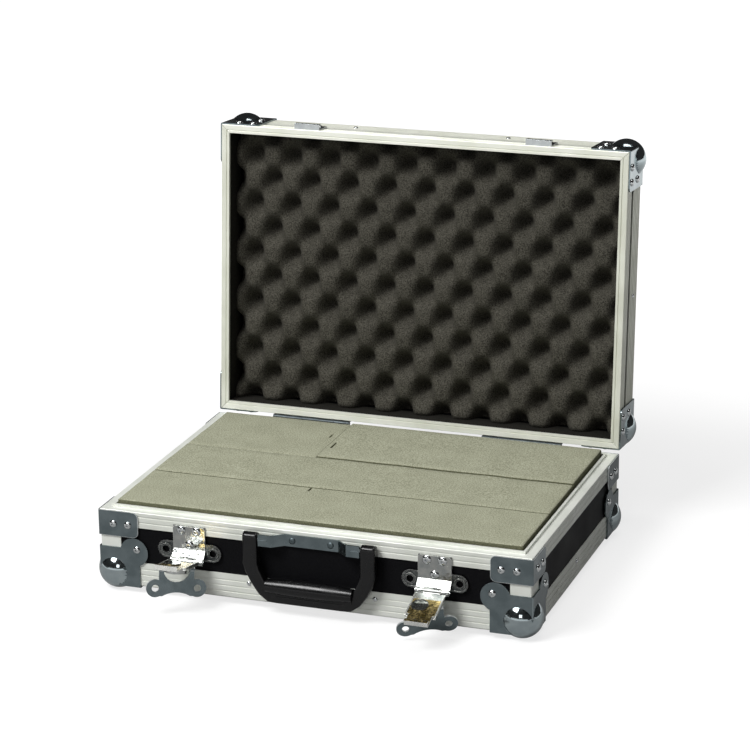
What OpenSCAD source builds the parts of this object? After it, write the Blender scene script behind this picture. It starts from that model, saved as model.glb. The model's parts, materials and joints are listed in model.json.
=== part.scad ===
// Small aluminium-edged microphone case, lid open, foam inside.
// Millimetres. X runs to the right, Y to the back, Z up. The origin is the middle of the
// underside of the base panel. Everything is drawn at rest: lid open, latches open.

/* [Case] */
// Width of the case over its edging
case_w = 450; // [400:1:600]
// Depth of the case over its edging, front to back
case_d = 314; // [280:1:420]
// Height of the base, from the underside of its edging to its rim
base_h = 79; // [76:1:120]
// Height of the lid, from its rim to the outside of its edging
lid_h = 54; // [50:1:80]
// Thickness of the laminated plywood panels
panel_t = 6; // [5:0.5:8]
// How far the lid stands open, from closed
lid_open = 94.5; // [80:0.5:105]
// Air between the two rims when the lid is shut
parting_gap = 0.4; // [0.2:0.1:1]

/* [Aluminium profiles] */
// Sheet thickness of all the aluminium
edging_t = 1.2; // [1:0.1:1.8]
// Height of the outer leg of the rim profile
rim_leg = 16.5; // [14:0.5:20]
// Height of the inner leg of the rim profile
rim_inner_leg = 12; // [8:0.5:14]
// Thickness of the inner leg of the rim profile
rim_inner_t = 1.8; // [1.2:0.1:3]
// Thickness of the solid crown of the rim profile
rim_crown = 4.5; // [4:0.1:6]
// Width of the tongue that stands inside the base's rim
tongue_w = 2.7; // [2:0.1:3.2]
// Height of the tongue over the base's rim
tongue_h = 2.6; // [1:0.1:3]
// Air between the tongue and the lid's rim
tongue_gap = 0.6; // [0.5:0.05:0.8]
// Depth of the inner leg of the lid's rim
lid_inner_leg = 3.6; // [3.5:0.1:8]
// Width of the line rolled into the lid's rim
rim_line_w = 1; // [0.6:0.1:1.4]
// Leg of the edging along the bottom of the base
base_edging = 25.5; // [20:0.5:30]
// Leg of the edging round the top of the lid
lid_edging = 30; // [24:0.5:32]
// Leg of the upright angle at each corner of the base
corner_leg = 22; // [18:0.5:28]
// Pitch of the ribs rolled into the edging
rib_pitch = 6; // [4:0.5:9]
// Width of the groove between two ribs
rib_groove_w = 1.6; // [0.8:0.1:2.4]
// Depth of the groove between two ribs
rib_groove_d = 0.5; // [0.2:0.05:0.8]

/* [Corner fittings] */
// Sheet thickness of the steel corner fittings
fitting_t = 1.5; // [1:0.1:2]
// Radius of the ball on each corner
ball_r = 21; // [19:0.5:24]
// How far the ball's centre lies inside the corner's three faces
ball_inset = 13.4; // [12.5:0.1:14.5]
// How far each ball is pressed flat at its foot
ball_land = 0.3; // [0.2:0.05:0.6]
// Length of each arm of a corner fitting
corner_arm = 42; // [36:1:50]
// Radius of the round lobe between two arms
lobe_r = 15; // [12:0.2:15.2]
// How far the lobe's centre lies from each edge
lobe_inset = 36.4; // [32:0.2:40]
// Length of each leg of a rim brace
brace_leg = 41.6; // [36:0.2:48]
// Height of a rim brace
brace_h = 27; // [22:0.5:30]

/* [Rivets] */
// Diameter of a large rivet head
rivet_d = 8; // [6:0.5:10]
// Height of a large rivet head
rivet_h = 2.2; // [1.2:0.1:3]
// Diameter of the small rivets in the edging
small_rivet_d = 5; // [4:0.5:6]
// Height of the small rivets in the edging
small_rivet_h = 1.3; // [0.8:0.1:2]
// Diameter of the rivets in the hinges and the keepers
hinge_rivet_d = 6; // [5:0.5:7]
// Height of the rivets in the hinges and the keepers
hinge_rivet_h = 1.5; // [0.8:0.1:2]
// Distance of the small rivets in the base from the sides of the case
base_rivet_x = 159; // [140:1:170]
// Distance of the small rivets in the lid from the sides of the case
lid_rivet_x = 140; // [120:1:160]
// Distance of the small rivets from the outside of the edging's other leg
edging_rivet_up = 18; // [12:0.5:20]

/* [Hinges] */
// Length of each hinge
hinge_len = 88; // [60:1:110]
// Distance of each hinge's middle from the side of the case
hinge_x = 106; // [98:1:125]
// Height of each hinge leaf
leaf_h = 26; // [20:1:34]
// Thickness of each hinge leaf
leaf_t = 1.5; // [1.2:0.1:2]
// How far the hinge axis lies behind the back of the case
hinge_out = 3.2; // [3.1:0.1:4]
// How far the hinge axis lies above the base's rim
hinge_up = 0.8; // [0.4:0.1:1.2]
// Radius of a hinge knuckle
knuckle_r = 2.9; // [2.6:0.1:3]
// Radius of a hinge pin
hinge_pin_r = 1.4; // [1:0.1:1.6]
// Radial air between every pin and the hole that turns on it
pin_gap = 0.05; // [0.02:0.01:0.1]

/* [Foam] */
// How far the loose foam blocks stand above the rim
foam_rise = 8; // [5:0.5:12]
// Air between the foam blocks and the rim round them
foam_gap = 1.2; // [0.8:0.1:3]
// Width of the slits between the foam blocks
foam_slit = 0.8; // [0.4:0.1:2]
// Thickness of the foam pad on the floor of the base
floor_pad_t = 10; // [6:1:16]
// Depth of the front strip of foam
foam_front_d = 91; // [60:1:110]
// Depth of the middle strip of foam
foam_middle_d = 85; // [60:1:110]
// Where the back strip is cut in two, from the middle of the case
foam_cut_x = -66; // [-120:1:120]
// Distance between bumps of the egg-crate foam across the lid
bump_pitch = 43.5; // [35:0.5:50]
// Distance between rows of bumps up the lid
bump_row = 27; // [22:0.5:32]
// Height of a bump of the egg-crate foam
bump_h = 17; // [10:1:20]
// Thickness of the egg-crate foam under its bumps
crate_base = 12; // [6:1:16]
// Thickness of the foam lining round the inside of the lid
lining_t = 1.6; // [1:0.1:1.8]

/* [Latches] */
// Distance of each latch's middle from the side of the case
latch_x = 97; // [88:1:115]
// Height of the latch's hinge axis above the underside of the panel
latch_z = 36.1; // [34:0.1:40]
// How far the latch's hinge axis stands out from the front
latch_out = 8.8; // [8.5:0.1:10]
// How far the left flap stands above level
left_flap_up = 9.7; // [-18:0.1:30]
// How far the right flap stands above level
right_flap_up = -18.1; // [-18.1:0.1:30]
// How far the left wing is turned from level, where its claw is drawn in
left_turn = 32; // [0:1:45]
// How far the right wing is turned from level
right_turn = 22; // [0:1:45]
// Angle that a wing turns between its two stops
cam_travel = 55; // [45:1:57]
// How far the claw travels
claw_stroke = 4.5; // [3.5:0.1:5]
// Width of the latch plate
latch_w = 34; // [30:0.5:38]
// Sheet thickness of the latch's steel parts
latch_t = 1.2; // [1:0.1:1.4]
// Width over the two ears of the latch plate
ears_w = 67; // [62:1:74]
// Distance between the holes in the two ears
ear_holes = 50.4; // [46:0.2:54]
// Width of the flap
flap_w = 31; // [27:0.5:32]
// Height of the flap's side flanges above its hinge axis
flange_h = 2.8; // [2.6:0.1:3.4]
// Length of the flap from its hinge axis
flap_len = 40; // [36:0.5:44]
// Distance of the cam's axis from the flap's hinge axis
cam_z = 25; // [23:0.5:27]
// Distance of the claw's end from the hinge axis when drawn in
claw_len = 51; // [48:0.5:54]
// Width of the claw's hooked end
claw_w = 24; // [20:0.5:27]
// Radius of the round boss under the wing
boss_r = 12.5; // [11:0.5:13.5]
// Height of the round boss under the wing
boss_h = 5; // [4:0.1:6]
// How far the holes in the wing lie beyond the face of the boss
wing_reach = 16.4; // [15:0.1:18]
// Distance between the two holes in the wing
wing_holes = 41.8; // [38:0.2:46]
// Radius of each lobe of the wing
wing_lobe = 9; // [8:0.1:10]
// Thickness of the wing
wing_t = 2; // [1.5:0.1:2.4]
// Width of the keeper on the lid
keeper_w = 28; // [26:0.5:34]

/* [Handle] */
// How far the middle of the handle lies to the right of the middle of the case
handle_x = 1.4; // [-10:0.1:10]
// Width over the two arms of the handle
handle_w = 138; // [126:1:156]
// Width of each arm of the handle
arm_w = 15.4; // [12:0.2:17]
// Thickness of each arm of the handle
arm_t = 11; // [8:0.5:11.5]
// Height of the handle's axis above the underside of the panel
handle_z = 68; // [62:0.1:69]
// How far the handle's axis stands out from the front
handle_out = 7.2; // [6.8:0.1:9]
// Length of the handle from its axis to its lower edge
handle_drop = 63.7; // [58:0.1:66]
// Height of the bar under the hand grip
bar_h = 8.7; // [6:0.1:12]
// Distance between each end of the hand grip and the arm beside it
grip_clear = 8.6; // [6:0.1:12]
// Radius of the hand grip in its middle
grip_r = 8.6; // [7.4:0.1:9]
// Radius of the hand grip at its ends
grip_end_r = 6.8; // [5:0.1:7.2]
// Height of the steel strap between the arms
strap_h = 12; // [9:0.5:13]
// Thickness of the steel strap between the arms
strap_t = 2; // [1.5:0.1:3]

/* [Hidden] */
$fn = 48;
hair = 0.01;
mitre_gap = 0.15;
fit_gap = 0.2;
big = 2000;

rim_w = edging_t + panel_t + rim_inner_t;
rim_top = base_h - edging_t;
inside_w = case_w - 2 * rim_w;
inside_d = case_d - 2 * rim_w;
base_rim_w = rim_w + tongue_gap + tongue_w;
lid_rim_z = rim_top + parting_gap;
lid_top_z = lid_rim_z + lid_h;
hinge_y = case_d / 2 + hinge_out;
hinge_z = rim_top + hinge_up;
front = -case_d / 2;
latch_mid = case_w / 2 - latch_x;
hinge_mid = case_w / 2 - hinge_x;
brace_shy = 0.3;
brace_rivets = [14.8, 30.6];
brace_rivet_down = 14.3;
lid_rivets = [17, 32.5];
lid_rivet_down = [9, 32];
lobe_rivet = lobe_inset + 3;
leaf_start = 3.4;
leaf_web = 4;

// Corner cut: how far each corner of the box is cut back under its ball
chop = ball_inset * sqrt(3) - ball_r + fitting_t + 1.3;

flap_up = [left_flap_up, right_flap_up];
cam_turn = [left_turn, right_turn];
cam_throw = claw_stroke / 2 / sin(cam_travel / 2);
cam_disc_r = 6;
cam_gap = 0.25;
cam_head_t = 0.9;
claw_t = 1.5;
claw_y = [latch_t / 2 + 0.1, latch_t / 2 + 0.1 + claw_t];
hook_t = 1.2;
hook_drop = 2.5;
latch_knuckle_r = 3.2;
latch_pin_r = 1.5;
knuckle_half = latch_w / 4;
hook_y = claw_y[1] + 0.4 + latch_t + 0.7 + hook_t;
wing_pin_r = 1.1;
wing_hub_r = 2.2;
boss_y = latch_t / 2 + 0.1 + boss_h;
wing_pin_y = boss_y - 2.5;
wing_gap = 0.5;
wing_ear = 4.5;
wing_hole_r = 3.5;
disc_gap = 0.05;
keeper_out = latch_out - claw_y[1] - 0.4;
keeper_lip_z = latch_z + claw_len - claw_t - fit_gap;
handle_pin_r = 2;
arm_inner = handle_w / 2 - arm_w;
arm_tip_r = handle_out - 0.3;

// Colours as the eye sees them
alu = "#c9cfc8";
steel = "#8d979c";
zinc = "#5f6b73";
laminate = "#17171a";
nickel = "#c4c6c8";
passivated = "#b8a050";
black_plastic = "#1d1e20";
grey_foam = "#a39f88";
dark_foam = "#45433f";

// Places

module at_base() {
  translate([0, 0, -edging_t]) children();
}

module at_lid() {
  translate([0, hinge_y, hinge_z]) rotate([-lid_open, 0, 0]) translate([0, -hinge_y, -hinge_z])
    children();
}

module at_lid_shell() {
  at_lid() translate([0, 0, lid_top_z]) mirror([0, 0, 1]) children();
}

// Copies a child drawn at the corner where x, y and z are all zero and the case fills the
// positive side, to the four corners of the box
module at_corners() {
  for (sx = [0, 1]) {
    for (sy = [0, 1]) {
      mirror([sx, 0, 0]) mirror([0, sy, 0]) translate([-case_w / 2, -case_d / 2, 0]) children();
    }
  }
}

module at_flap(i) {
  translate([(i == 0 ? -1 : 1) * latch_mid, front - latch_out, latch_z])
    rotate([90 - flap_up[i], 0, 0]) children();
}

module at_cam(i) {
  at_flap(i) translate([0, 0, cam_z]) rotate([0, cam_turn[i], 0]) children();
}

// Shared shapes

// A rivet head that stands on the plane z = 0
module rivet_head(d, h) {
  cap_r = (d * d / 4 + h * h) / (2 * h);
  intersection() {
    translate([0, 0, h - cap_r]) sphere(cap_r);
    cylinder(h = h + 1, d = d);
  }
}

module rivet_on_front() {
  rotate([90, 0, 0]) rivet_head(rivet_d, rivet_h);
}

// A plate in the first quadrant with its two far corners rounded
module rounded_plate(w, h, r) {
  difference() {
    square([w, h]);
    translate([w - r, h - r]) corner_waste(r);
    translate([w - r, r]) mirror([0, 1]) corner_waste(r);
  }
}

module corner_waste(r) {
  difference() {
    square([r + 1, r + 1]);
    circle(r);
  }
}

// Lays a section, u inwards and v up, along the four sides, mitred at the corners
module mitred_frame(reach) {
  for (s = [0, 1]) {
    mirror([0, s, 0]) intersection() {
      translate([0, front, 0]) rotate([90, 0, 90]) linear_extrude(case_w, center = true) children();
      mitre_wedge(case_w, case_d, reach);
    }
    mirror([s, 0, 0]) intersection() {
      translate([-case_w / 2, 0, 0]) rotate([90, 0, 0]) linear_extrude(case_d, center = true)
        children();
      rotate([0, 0, -90]) mitre_wedge(case_d, case_w, reach);
    }
  }
}

module mitre_wedge(w, d, reach) {
  g = mitre_gap;
  translate([0, 0, -200]) linear_extrude(400) polygon([
    [-w / 2 + g - 1, -d / 2 - 1],
    [w / 2 - g + 1, -d / 2 - 1],
    [w / 2 - g - reach, -d / 2 + reach],
    [-w / 2 + g + reach, -d / 2 + reach]
  ]);
}

// Cuts the corner of the box back, square to its long diagonal
module corner_chop() {
  at_corners() rotate([0, 0, 45]) rotate([0, atan(sqrt(2)), 0]) translate([-30, -30, -30])
    cube([60, 60, 30 + chop]);
}

module ribs(from, to) {
  for (v = [from : rib_pitch : to]) {
    translate([-1, v]) square([1 + rib_groove_d, rib_groove_w]);
  }
}

// Panels of one shell; z runs from the outside of the edging to the rim

module floor_panel() {
  difference() {
    translate([-case_w / 2 + edging_t, front + edging_t, edging_t])
      cube([case_w - 2 * edging_t, case_d - 2 * edging_t, panel_t]);
    corner_chop();
  }
}

module front_panel(h) {
  w = case_w - 2 * edging_t - 2 * panel_t;
  translate([-w / 2, front + edging_t, edging_t + panel_t])
    cube([w, panel_t, h - edging_t - panel_t - rim_crown]);
}

module side_panels(h) {
  for (s = [0, 1]) {
    mirror([s, 0, 0]) translate([-case_w / 2 + edging_t, front + edging_t, edging_t + panel_t])
      cube([panel_t, case_d - 2 * edging_t, h - edging_t - panel_t - rim_crown]);
  }
}

// Profiles of one shell

module rim_section(inner_leg) {
  difference() {
    translate([0, -rim_leg]) square([rim_w, rim_leg]);
    translate([edging_t, -rim_leg - 1]) square([panel_t, rim_leg + 1 - rim_crown]);
    translate([edging_t, -rim_leg - 1]) square([rim_w, rim_leg + 1 - inner_leg]);
    translate([0, -rim_leg]) ribs(5, rim_leg - 4);
    translate([0.8, -0.8]) mirror([1, 0]) corner_waste(0.8);
  }
}

module base_rim_section() {
  root = 3;
  rim_section(rim_inner_leg);
  translate([rim_w - 1, -root]) square([base_rim_w - rim_w + 1, root]);
  translate([rim_w + tongue_gap, -1]) square([tongue_w, tongue_h + 1]);
}

module lid_rim_section() {
  line_depth = 0.9;
  difference() {
    rim_section(lid_inner_leg);
    translate([rim_w * 0.6, -line_depth]) square([rim_line_w, line_depth + 1]);
  }
}

module edging_section(leg) {
  difference() {
    square([leg, leg]);
    translate([edging_t, edging_t]) square([leg, leg]);
    translate([2, 2]) mirror([1, 0]) mirror([0, 1]) corner_waste(2);
    ribs(rib_pitch, leg - 3);
    mirror([1, -1]) ribs(rib_pitch, leg - 3);
  }
}

module bottom_edging(leg) {
  difference() {
    mitred_frame(leg + 2) edging_section(leg);
    corner_chop();
  }
}

module corner_angles(from, to) {
  at_corners() translate([0, 0, from + hair]) linear_extrude(to - from - 2 * hair) difference() {
    square([corner_leg, corner_leg]);
    translate([edging_t, edging_t]) square([corner_leg, corner_leg]);
    translate([2, 2]) mirror([1, 0]) mirror([0, 1]) corner_waste(2);
  }
}

// Corner fittings, drawn at the corner

// Outline on one face of the corner fitting: two arms and a round lobe
module lobed_outline() {
  square([corner_arm, corner_arm - 2]);
  translate([lobe_inset, lobe_inset]) circle(lobe_r);
}

// Three plates, one on each face, that meet at the corner; the side plates' outlines are
// children 0, the floor plate's is child 1
module three_plates() {
  rotate([90, 0, 0]) linear_extrude(fitting_t) children(0);
  translate([-fitting_t, 0, 0]) rotate([90, 0, 90]) linear_extrude(fitting_t) children(0);
  translate([0, 0, -fitting_t]) linear_extrude(fitting_t) children(1);
}

// Rounded strips of sheet that join the plates along the three edges
module edge_strips(up) {
  cylinder(h = up, r = fitting_t);
  rotate([-90, 0, 0]) cylinder(h = corner_arm, r = fitting_t);
  rotate([0, 90, 0]) cylinder(h = corner_arm, r = fitting_t);
}

// The ball, pressed flat where it stands
module ball() {
  difference() {
    sphere(ball_r, $fn = 96);
    translate([-ball_r, -ball_r, -2 * ball_r + ball_land]) cube([2 * ball_r, 2 * ball_r, ball_r]);
  }
}

module ball_corner(up) {
  difference() {
    union() {
      difference() {
        union() {
          three_plates() {
            children(0);
            children(1);
          }
          edge_strips(up);
        }
        translate([-5, -5, -5]) cube(5 + ball_inset);
      }
      translate([1, 1, 1] * ball_inset) ball();
    }
    difference() {
      cube(big);
      rotate([0, 0, 45]) rotate([0, atan(sqrt(2)), 0]) translate([-30, -30, -30])
        cube([60, 60, 30 + chop]);
    }
  }
}

// Where the side plates of a ball corner lie, with air round them
module corner_fitting_space() {
  up = corner_arm - 2 + fit_gap;
  translate([0, 1, 0]) rotate([90, 0, 0]) linear_extrude(fitting_t + 2) corner_fitting_outline();
  translate([-fitting_t - 1, 0, 0]) rotate([90, 0, 90]) linear_extrude(fitting_t + 2)
    corner_fitting_outline();
  translate([-fitting_t - 1, -fitting_t - 1, 0]) cube([fitting_t + 2, fitting_t + 2, up]);
}

module corner_fitting_outline() {
  square([corner_arm + fit_gap, corner_arm - 2 + fit_gap]);
  translate([lobe_inset, lobe_inset]) circle(lobe_r + fit_gap);
}

// Brace at a corner of the rim; on a low base it is cut out round the ball corner
module rim_brace() {
  difference() {
    union() {
      rotate([90, 0, 0]) linear_extrude(fitting_t) rounded_plate(brace_leg, brace_h, 6);
      translate([-fitting_t, 0, 0]) rotate([90, 0, 90]) linear_extrude(fitting_t)
        rounded_plate(brace_leg, brace_h, 6);
      cylinder(h = brace_h, r = fitting_t);
    }
    translate([0, 0, -1]) cube([brace_leg + 1, brace_leg + 1, brace_h + 2]);
    translate([0, 0, brace_h + brace_shy - base_h]) corner_fitting_space();
  }
}

// Puts a rivet on each of the three faces that meet at a corner
module rivet_on_side_faces(along, up) {
  translate([along, -fitting_t, up]) rivet_on_front();
  translate([-fitting_t, along, up]) rotate([0, 0, -90]) rivet_on_front();
}

module rivet_under(along, across) {
  translate([along, across, -fitting_t]) rotate([180, 0, 0]) rivet_head(rivet_d, rivet_h);
}

// Base

module base_bottom_panel() {
  color(laminate) at_base() floor_panel();
}

module base_front_panel() {
  color(laminate) at_base() front_panel(base_h);
}

module base_back_panel() {
  color(laminate) at_base() mirror([0, 1, 0]) front_panel(base_h);
}

module base_side_panels() {
  color(laminate) at_base() side_panels(base_h);
}

module base_rim_profile() {
  color(alu) at_base() translate([0, 0, base_h]) mitred_frame(base_rim_w + 2) base_rim_section();
}

module base_bottom_edging() {
  color(alu) at_base() bottom_edging(base_edging);
}

module base_corner_edging() {
  color(alu) at_base() corner_angles(base_edging, base_h - rim_leg);
}

module base_ball_corners() {
  color(zinc) at_base() at_corners() ball_corner(corner_arm - 2) {
    lobed_outline();
    lobed_outline();
  }
}

module base_rim_braces() {
  color(zinc) at_base() at_corners() translate([0, 0, base_h - brace_h - brace_shy])
    rim_brace();
}

module base_ball_corner_rivets() {
  color(steel) at_base() at_corners() {
    rivet_on_side_faces(lobe_rivet, lobe_rivet);
    rivet_under(lobe_rivet, lobe_rivet);
  }
}

module base_brace_rivets() {
  color(steel) at_base() at_corners() {
    for (along = brace_rivets) {
      rivet_on_side_faces(along, base_h - brace_rivet_down);
    }
  }
}

module base_edging_rivets() {
  color(steel) at_base() for (s = [0, 1]) {
    mirror([0, s, 0]) for (t = [0, 1]) {
      mirror([t, 0, 0]) translate([base_rivet_x - case_w / 2, front, edging_rivet_up])
        rotate([90, 0, 0]) rivet_head(small_rivet_d, small_rivet_h);
    }
    mirror([s, 0, 0]) translate([-case_w / 2, 0, edging_rivet_up]) rotate([0, -90, 0])
      rivet_head(small_rivet_d, small_rivet_h);
  }
}

// Foam

foam_w = case_w - 2 * base_rim_w - 2 * foam_gap;
foam_front_y = -case_d / 2 + base_rim_w + foam_gap;
foam_back_y = case_d / 2 - base_rim_w - foam_gap;
foam_line_1 = foam_front_y + foam_front_d;
foam_line_2 = foam_line_1 + foam_slit + foam_middle_d;
foam_floor_z = panel_t + floor_pad_t;

module foam_block(x0, x1, y0, y1, rise) {
  color(grey_foam) translate([x0, y0, foam_floor_z + 0.2])
    cube([x1 - x0, y1 - y0, rim_top + rise - foam_floor_z - 0.2]);
}

module foam_floor_pad() {
  w = case_w - 2 * edging_t - 2 * panel_t - 1;
  d = case_d - 2 * edging_t - 2 * panel_t - 1;
  color(grey_foam) translate([-w / 2, -d / 2, panel_t]) cube([w, d, floor_pad_t]);
}

module foam_front_block() {
  foam_block(-foam_w / 2, foam_w / 2, foam_front_y, foam_line_1, foam_rise);
}

module foam_middle_block() {
  foam_block(-foam_w / 2, foam_w / 2, foam_line_1 + foam_slit, foam_line_2, foam_rise - 0.5);
}

module foam_back_left_block() {
  foam_block(-foam_w / 2, foam_cut_x - foam_slit / 2, foam_line_2 + foam_slit, foam_back_y,
    foam_rise - 1);
}

module foam_back_right_block() {
  foam_block(foam_cut_x + foam_slit / 2, foam_w / 2, foam_line_2 + foam_slit, foam_back_y,
    foam_rise + 1.5);
}

// Lid

module lid_top_panel() {
  color(laminate) at_lid_shell() floor_panel();
}

module lid_front_panel() {
  color(laminate) at_lid_shell() front_panel(lid_h);
}

module lid_back_panel() {
  color(laminate) at_lid_shell() mirror([0, 1, 0]) front_panel(lid_h);
}

module lid_side_panels() {
  color(laminate) at_lid_shell() side_panels(lid_h);
}

module lid_rim_profile() {
  color(alu) at_lid_shell() translate([0, 0, lid_h]) mitred_frame(rim_w + 2) lid_rim_section();
}

module lid_top_edging() {
  color(alu) at_lid_shell() bottom_edging(lid_edging);
}

module lid_ball_corners() {
  color(zinc) at_lid_shell() at_corners() ball_corner(lid_h - 1) {
    rounded_plate(corner_arm, lid_h - 1, 5);
    lobed_outline();
  }
}

module lid_corner_rivets() {
  color(steel) at_lid_shell() at_corners() {
    rivet_on_side_faces(lid_rivets[0], lid_h - lid_rivet_down[0]);
    rivet_on_side_faces(lid_rivets[1], lid_h - lid_rivet_down[0]);
    rivet_on_side_faces(lid_rivets[1], lid_h - lid_rivet_down[1]);
    rivet_under(lobe_rivet, lobe_rivet);
  }
}

module lid_edging_rivets() {
  color(steel) at_lid_shell() for (s = [0, 1]) {
    mirror([0, s, 0]) for (t = [0, 1]) {
      mirror([t, 0, 0]) translate([lid_rivet_x - case_w / 2, front, edging_rivet_up])
        rotate([90, 0, 0]) rivet_head(small_rivet_d, small_rivet_h);
    }
    mirror([s, 0, 0]) translate([-case_w / 2, 0, edging_rivet_up]) rotate([0, -90, 0])
      rivet_head(small_rivet_d, small_rivet_h);
  }
}

crate_z = edging_t + panel_t;
crate_w = case_w - 2 * edging_t - 2 * panel_t - 1;
crate_d = case_d - 2 * edging_t - 2 * panel_t - 1;

module lid_eggcrate_foam() {
  rows = floor((inside_d / 2 - 12) / bump_row);
  cols = ceil(inside_w / bump_pitch);
  color(dark_foam) at_lid_shell() {
    translate([-crate_w / 2, -crate_d / 2, crate_z]) cube([crate_w, crate_d, crate_base]);
    for (row = [-rows : rows]) {
      for (col = [-cols : cols]) {
        x = (col + (row % 2 == 0 ? 0 : 0.5)) * bump_pitch;
        if (abs(x) < inside_w / 2 - 12) {
          translate([x, row * bump_row, crate_z + crate_base - hair])
            cylinder(h = bump_h, r1 = bump_row * 0.5, r2 = bump_row * 0.2, $fn = 24);
        }
      }
    }
  }
}

// Thin foam strips on the walls between the egg crate and the rim profile
module lid_lining_strips() {
  z0 = crate_z + crate_base + 0.3;
  z1 = lid_h - lid_inner_leg - 0.3;
  wall_w = case_w - 2 * edging_t - 2 * panel_t;
  wall_d = case_d - 2 * edging_t - 2 * panel_t;
  color(dark_foam) at_lid_shell() for (s = [0, 1]) {
    mirror([0, s, 0]) translate([-wall_w / 2, -wall_d / 2, z0]) cube([wall_w, lining_t, z1 - z0]);
    mirror([s, 0, 0]) translate([-wall_w / 2, -wall_d / 2 + lining_t + fit_gap, z0])
      cube([lining_t, wall_d - 2 * lining_t - 2 * fit_gap, z1 - z0]);
  }
}

// Keeper: a plate riveted to the lid's front with a lip that is open at its top
module keeper(side) {
  shelf_z = lid_rim_z + 1.2;
  color(nickel) at_lid() translate([side * latch_mid - keeper_w / 2, front, 0])
    rotate([90, 0, 90]) linear_extrude(keeper_w) union() {
      translate([-latch_t, shelf_z]) square([latch_t, keeper_lip_z + 18 - shelf_z]);
      translate([-keeper_out, shelf_z]) square([keeper_out, latch_t]);
      translate([-keeper_out, shelf_z]) square([latch_t, keeper_lip_z - shelf_z]);
    }
}

module keeper_left() {
  keeper(-1);
}

module keeper_right() {
  keeper(1);
}

module keeper_rivets() {
  color(steel) at_lid() for (s = [-1, 1]) {
    for (x = [-8, 8]) {
      translate([s * latch_mid + x, front - latch_t, keeper_lip_z + 12])
        rotate([90, 0, 0]) rivet_head(hinge_rivet_d, hinge_rivet_h);
    }
  }
}

// Hinges: five knuckles, of which the base carries three and the lid two

knuckles = 5;
knuckle_len = hinge_len / knuckles;

module at_hinges() {
  for (s = [-1, 1]) {
    translate([s * hinge_mid, 0, 0]) children();
  }
}

module hinge_knuckle(n) {
  translate([-hinge_len / 2 + n * knuckle_len + 0.15, hinge_y, hinge_z]) rotate([0, 90, 0])
    cylinder(h = knuckle_len - 0.3, r = knuckle_r);
}

module hinge_bore() {
  translate([-hinge_len, hinge_y, hinge_z]) rotate([0, 90, 0])
    cylinder(h = 2 * hinge_len, r = hinge_pin_r + pin_gap);
}

module knuckle_web(n, z0, z1) {
  translate([-hinge_len / 2 + n * knuckle_len + 0.15, case_d / 2, z0])
    cube([knuckle_len - 0.3, leaf_t, z1 - z0]);
}

module hinge_base_leaves() {
  color(zinc) at_hinges() difference() {
    union() {
      translate([-hinge_len / 2, case_d / 2, hinge_z - leaf_start - leaf_h])
        cube([hinge_len, leaf_t, leaf_h]);
      for (n = [0 : 2 : knuckles - 1]) {
        hinge_knuckle(n);
        knuckle_web(n, hinge_z - leaf_web, hinge_z);
      }
    }
    hinge_bore();
  }
}

module hinge_lid_leaves() {
  heel = 9;
  color(zinc) at_lid() at_hinges() difference() {
    union() {
      translate([-hinge_len / 2, case_d / 2, hinge_z + leaf_start]) cube([hinge_len, leaf_t, leaf_h]);
      for (n = [1 : 2 : knuckles - 1]) {
        hinge_knuckle(n);
        knuckle_web(n, hinge_z, hinge_z + leaf_web);
        translate([-hinge_len / 2 + n * knuckle_len + 0.15, hinge_y, hinge_z])
          rotate([lid_open, 0, 0]) translate([0, leaf_t + 0.1 - hinge_out, -heel])
          cube([knuckle_len - 0.3, leaf_t, heel]);
      }
    }
    hinge_bore();
  }
}

module hinge_pins() {
  color(steel) at_hinges() translate([-hinge_len / 2, hinge_y, hinge_z]) rotate([0, 90, 0])
    cylinder(h = hinge_len, r = hinge_pin_r);
}

module leaf_rivets(z) {
  for (x = [-1, 1]) {
    for (dz = [-0.23, 0.23]) {
      translate([x * hinge_len * 0.36, case_d / 2 + leaf_t, z + dz * leaf_h]) rotate([-90, 0, 0])
        rivet_head(hinge_rivet_d, hinge_rivet_h);
    }
  }
}

module hinge_base_rivets() {
  color(steel) at_hinges() leaf_rivets(hinge_z - leaf_start - leaf_h / 2);
}

module hinge_lid_rivets() {
  color(steel) at_lid() at_hinges() leaf_rivets(hinge_z + leaf_start + leaf_h / 2);
}

// Handle: hangs from two pins; x = 0 is its middle, z = 0 its axis

// Outline of the bail from the front: straight arms, then drawn in to a bar
module bail_outline() {
  out = handle_w / 2;
  bend = 28;
  bar_w = out - 22;
  knee = 0.45 * (handle_drop - bend);
  difference() {
    union() {
      polygon([
        [-out, 0], [-out, -bend], [-out + 5.5, -bend - knee], [-bar_w, -handle_drop],
        [bar_w, -handle_drop], [out - 5.5, -bend - knee], [out, -bend], [out, 0]
      ]);
      for (s = [-1, 1]) {
        translate([s * (out - arm_w / 2) - arm_w / 2, -hair]) square([arm_w, arm_tip_r]);
      }
    }
    polygon([
      [-arm_inner, 20], [-arm_inner, -bend], [-arm_inner + 4.5, -bend - 10],
      [-arm_inner + 16, -handle_drop + bar_h], [arm_inner - 16, -handle_drop + bar_h],
      [arm_inner - 4.5, -bend - 10], [arm_inner, -bend], [arm_inner, 20]
    ]);
  }
}

// The hand grip is a barrel that lies on the bar, with a seat that fills the slit under its ends
module grip_barrel() {
  half = arm_inner - grip_clear;
  seat_t = 8;
  sink = 0.5;
  translate([0, handle_out - grip_r - 0.6, -handle_drop + bar_h - sink]) {
    translate([0, 0, grip_r]) rotate([0, 90, 0]) rotate_extrude() polygon([
      [0, -half], [grip_end_r, -half], [grip_r - 0.4, -half / 2], [grip_r, 0],
      [grip_r - 0.4, half / 2], [grip_end_r, half], [0, half]
    ]);
    translate([-half, -seat_t / 2, 0]) cube([2 * half, seat_t, grip_r / 2]);
  }
}

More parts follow.
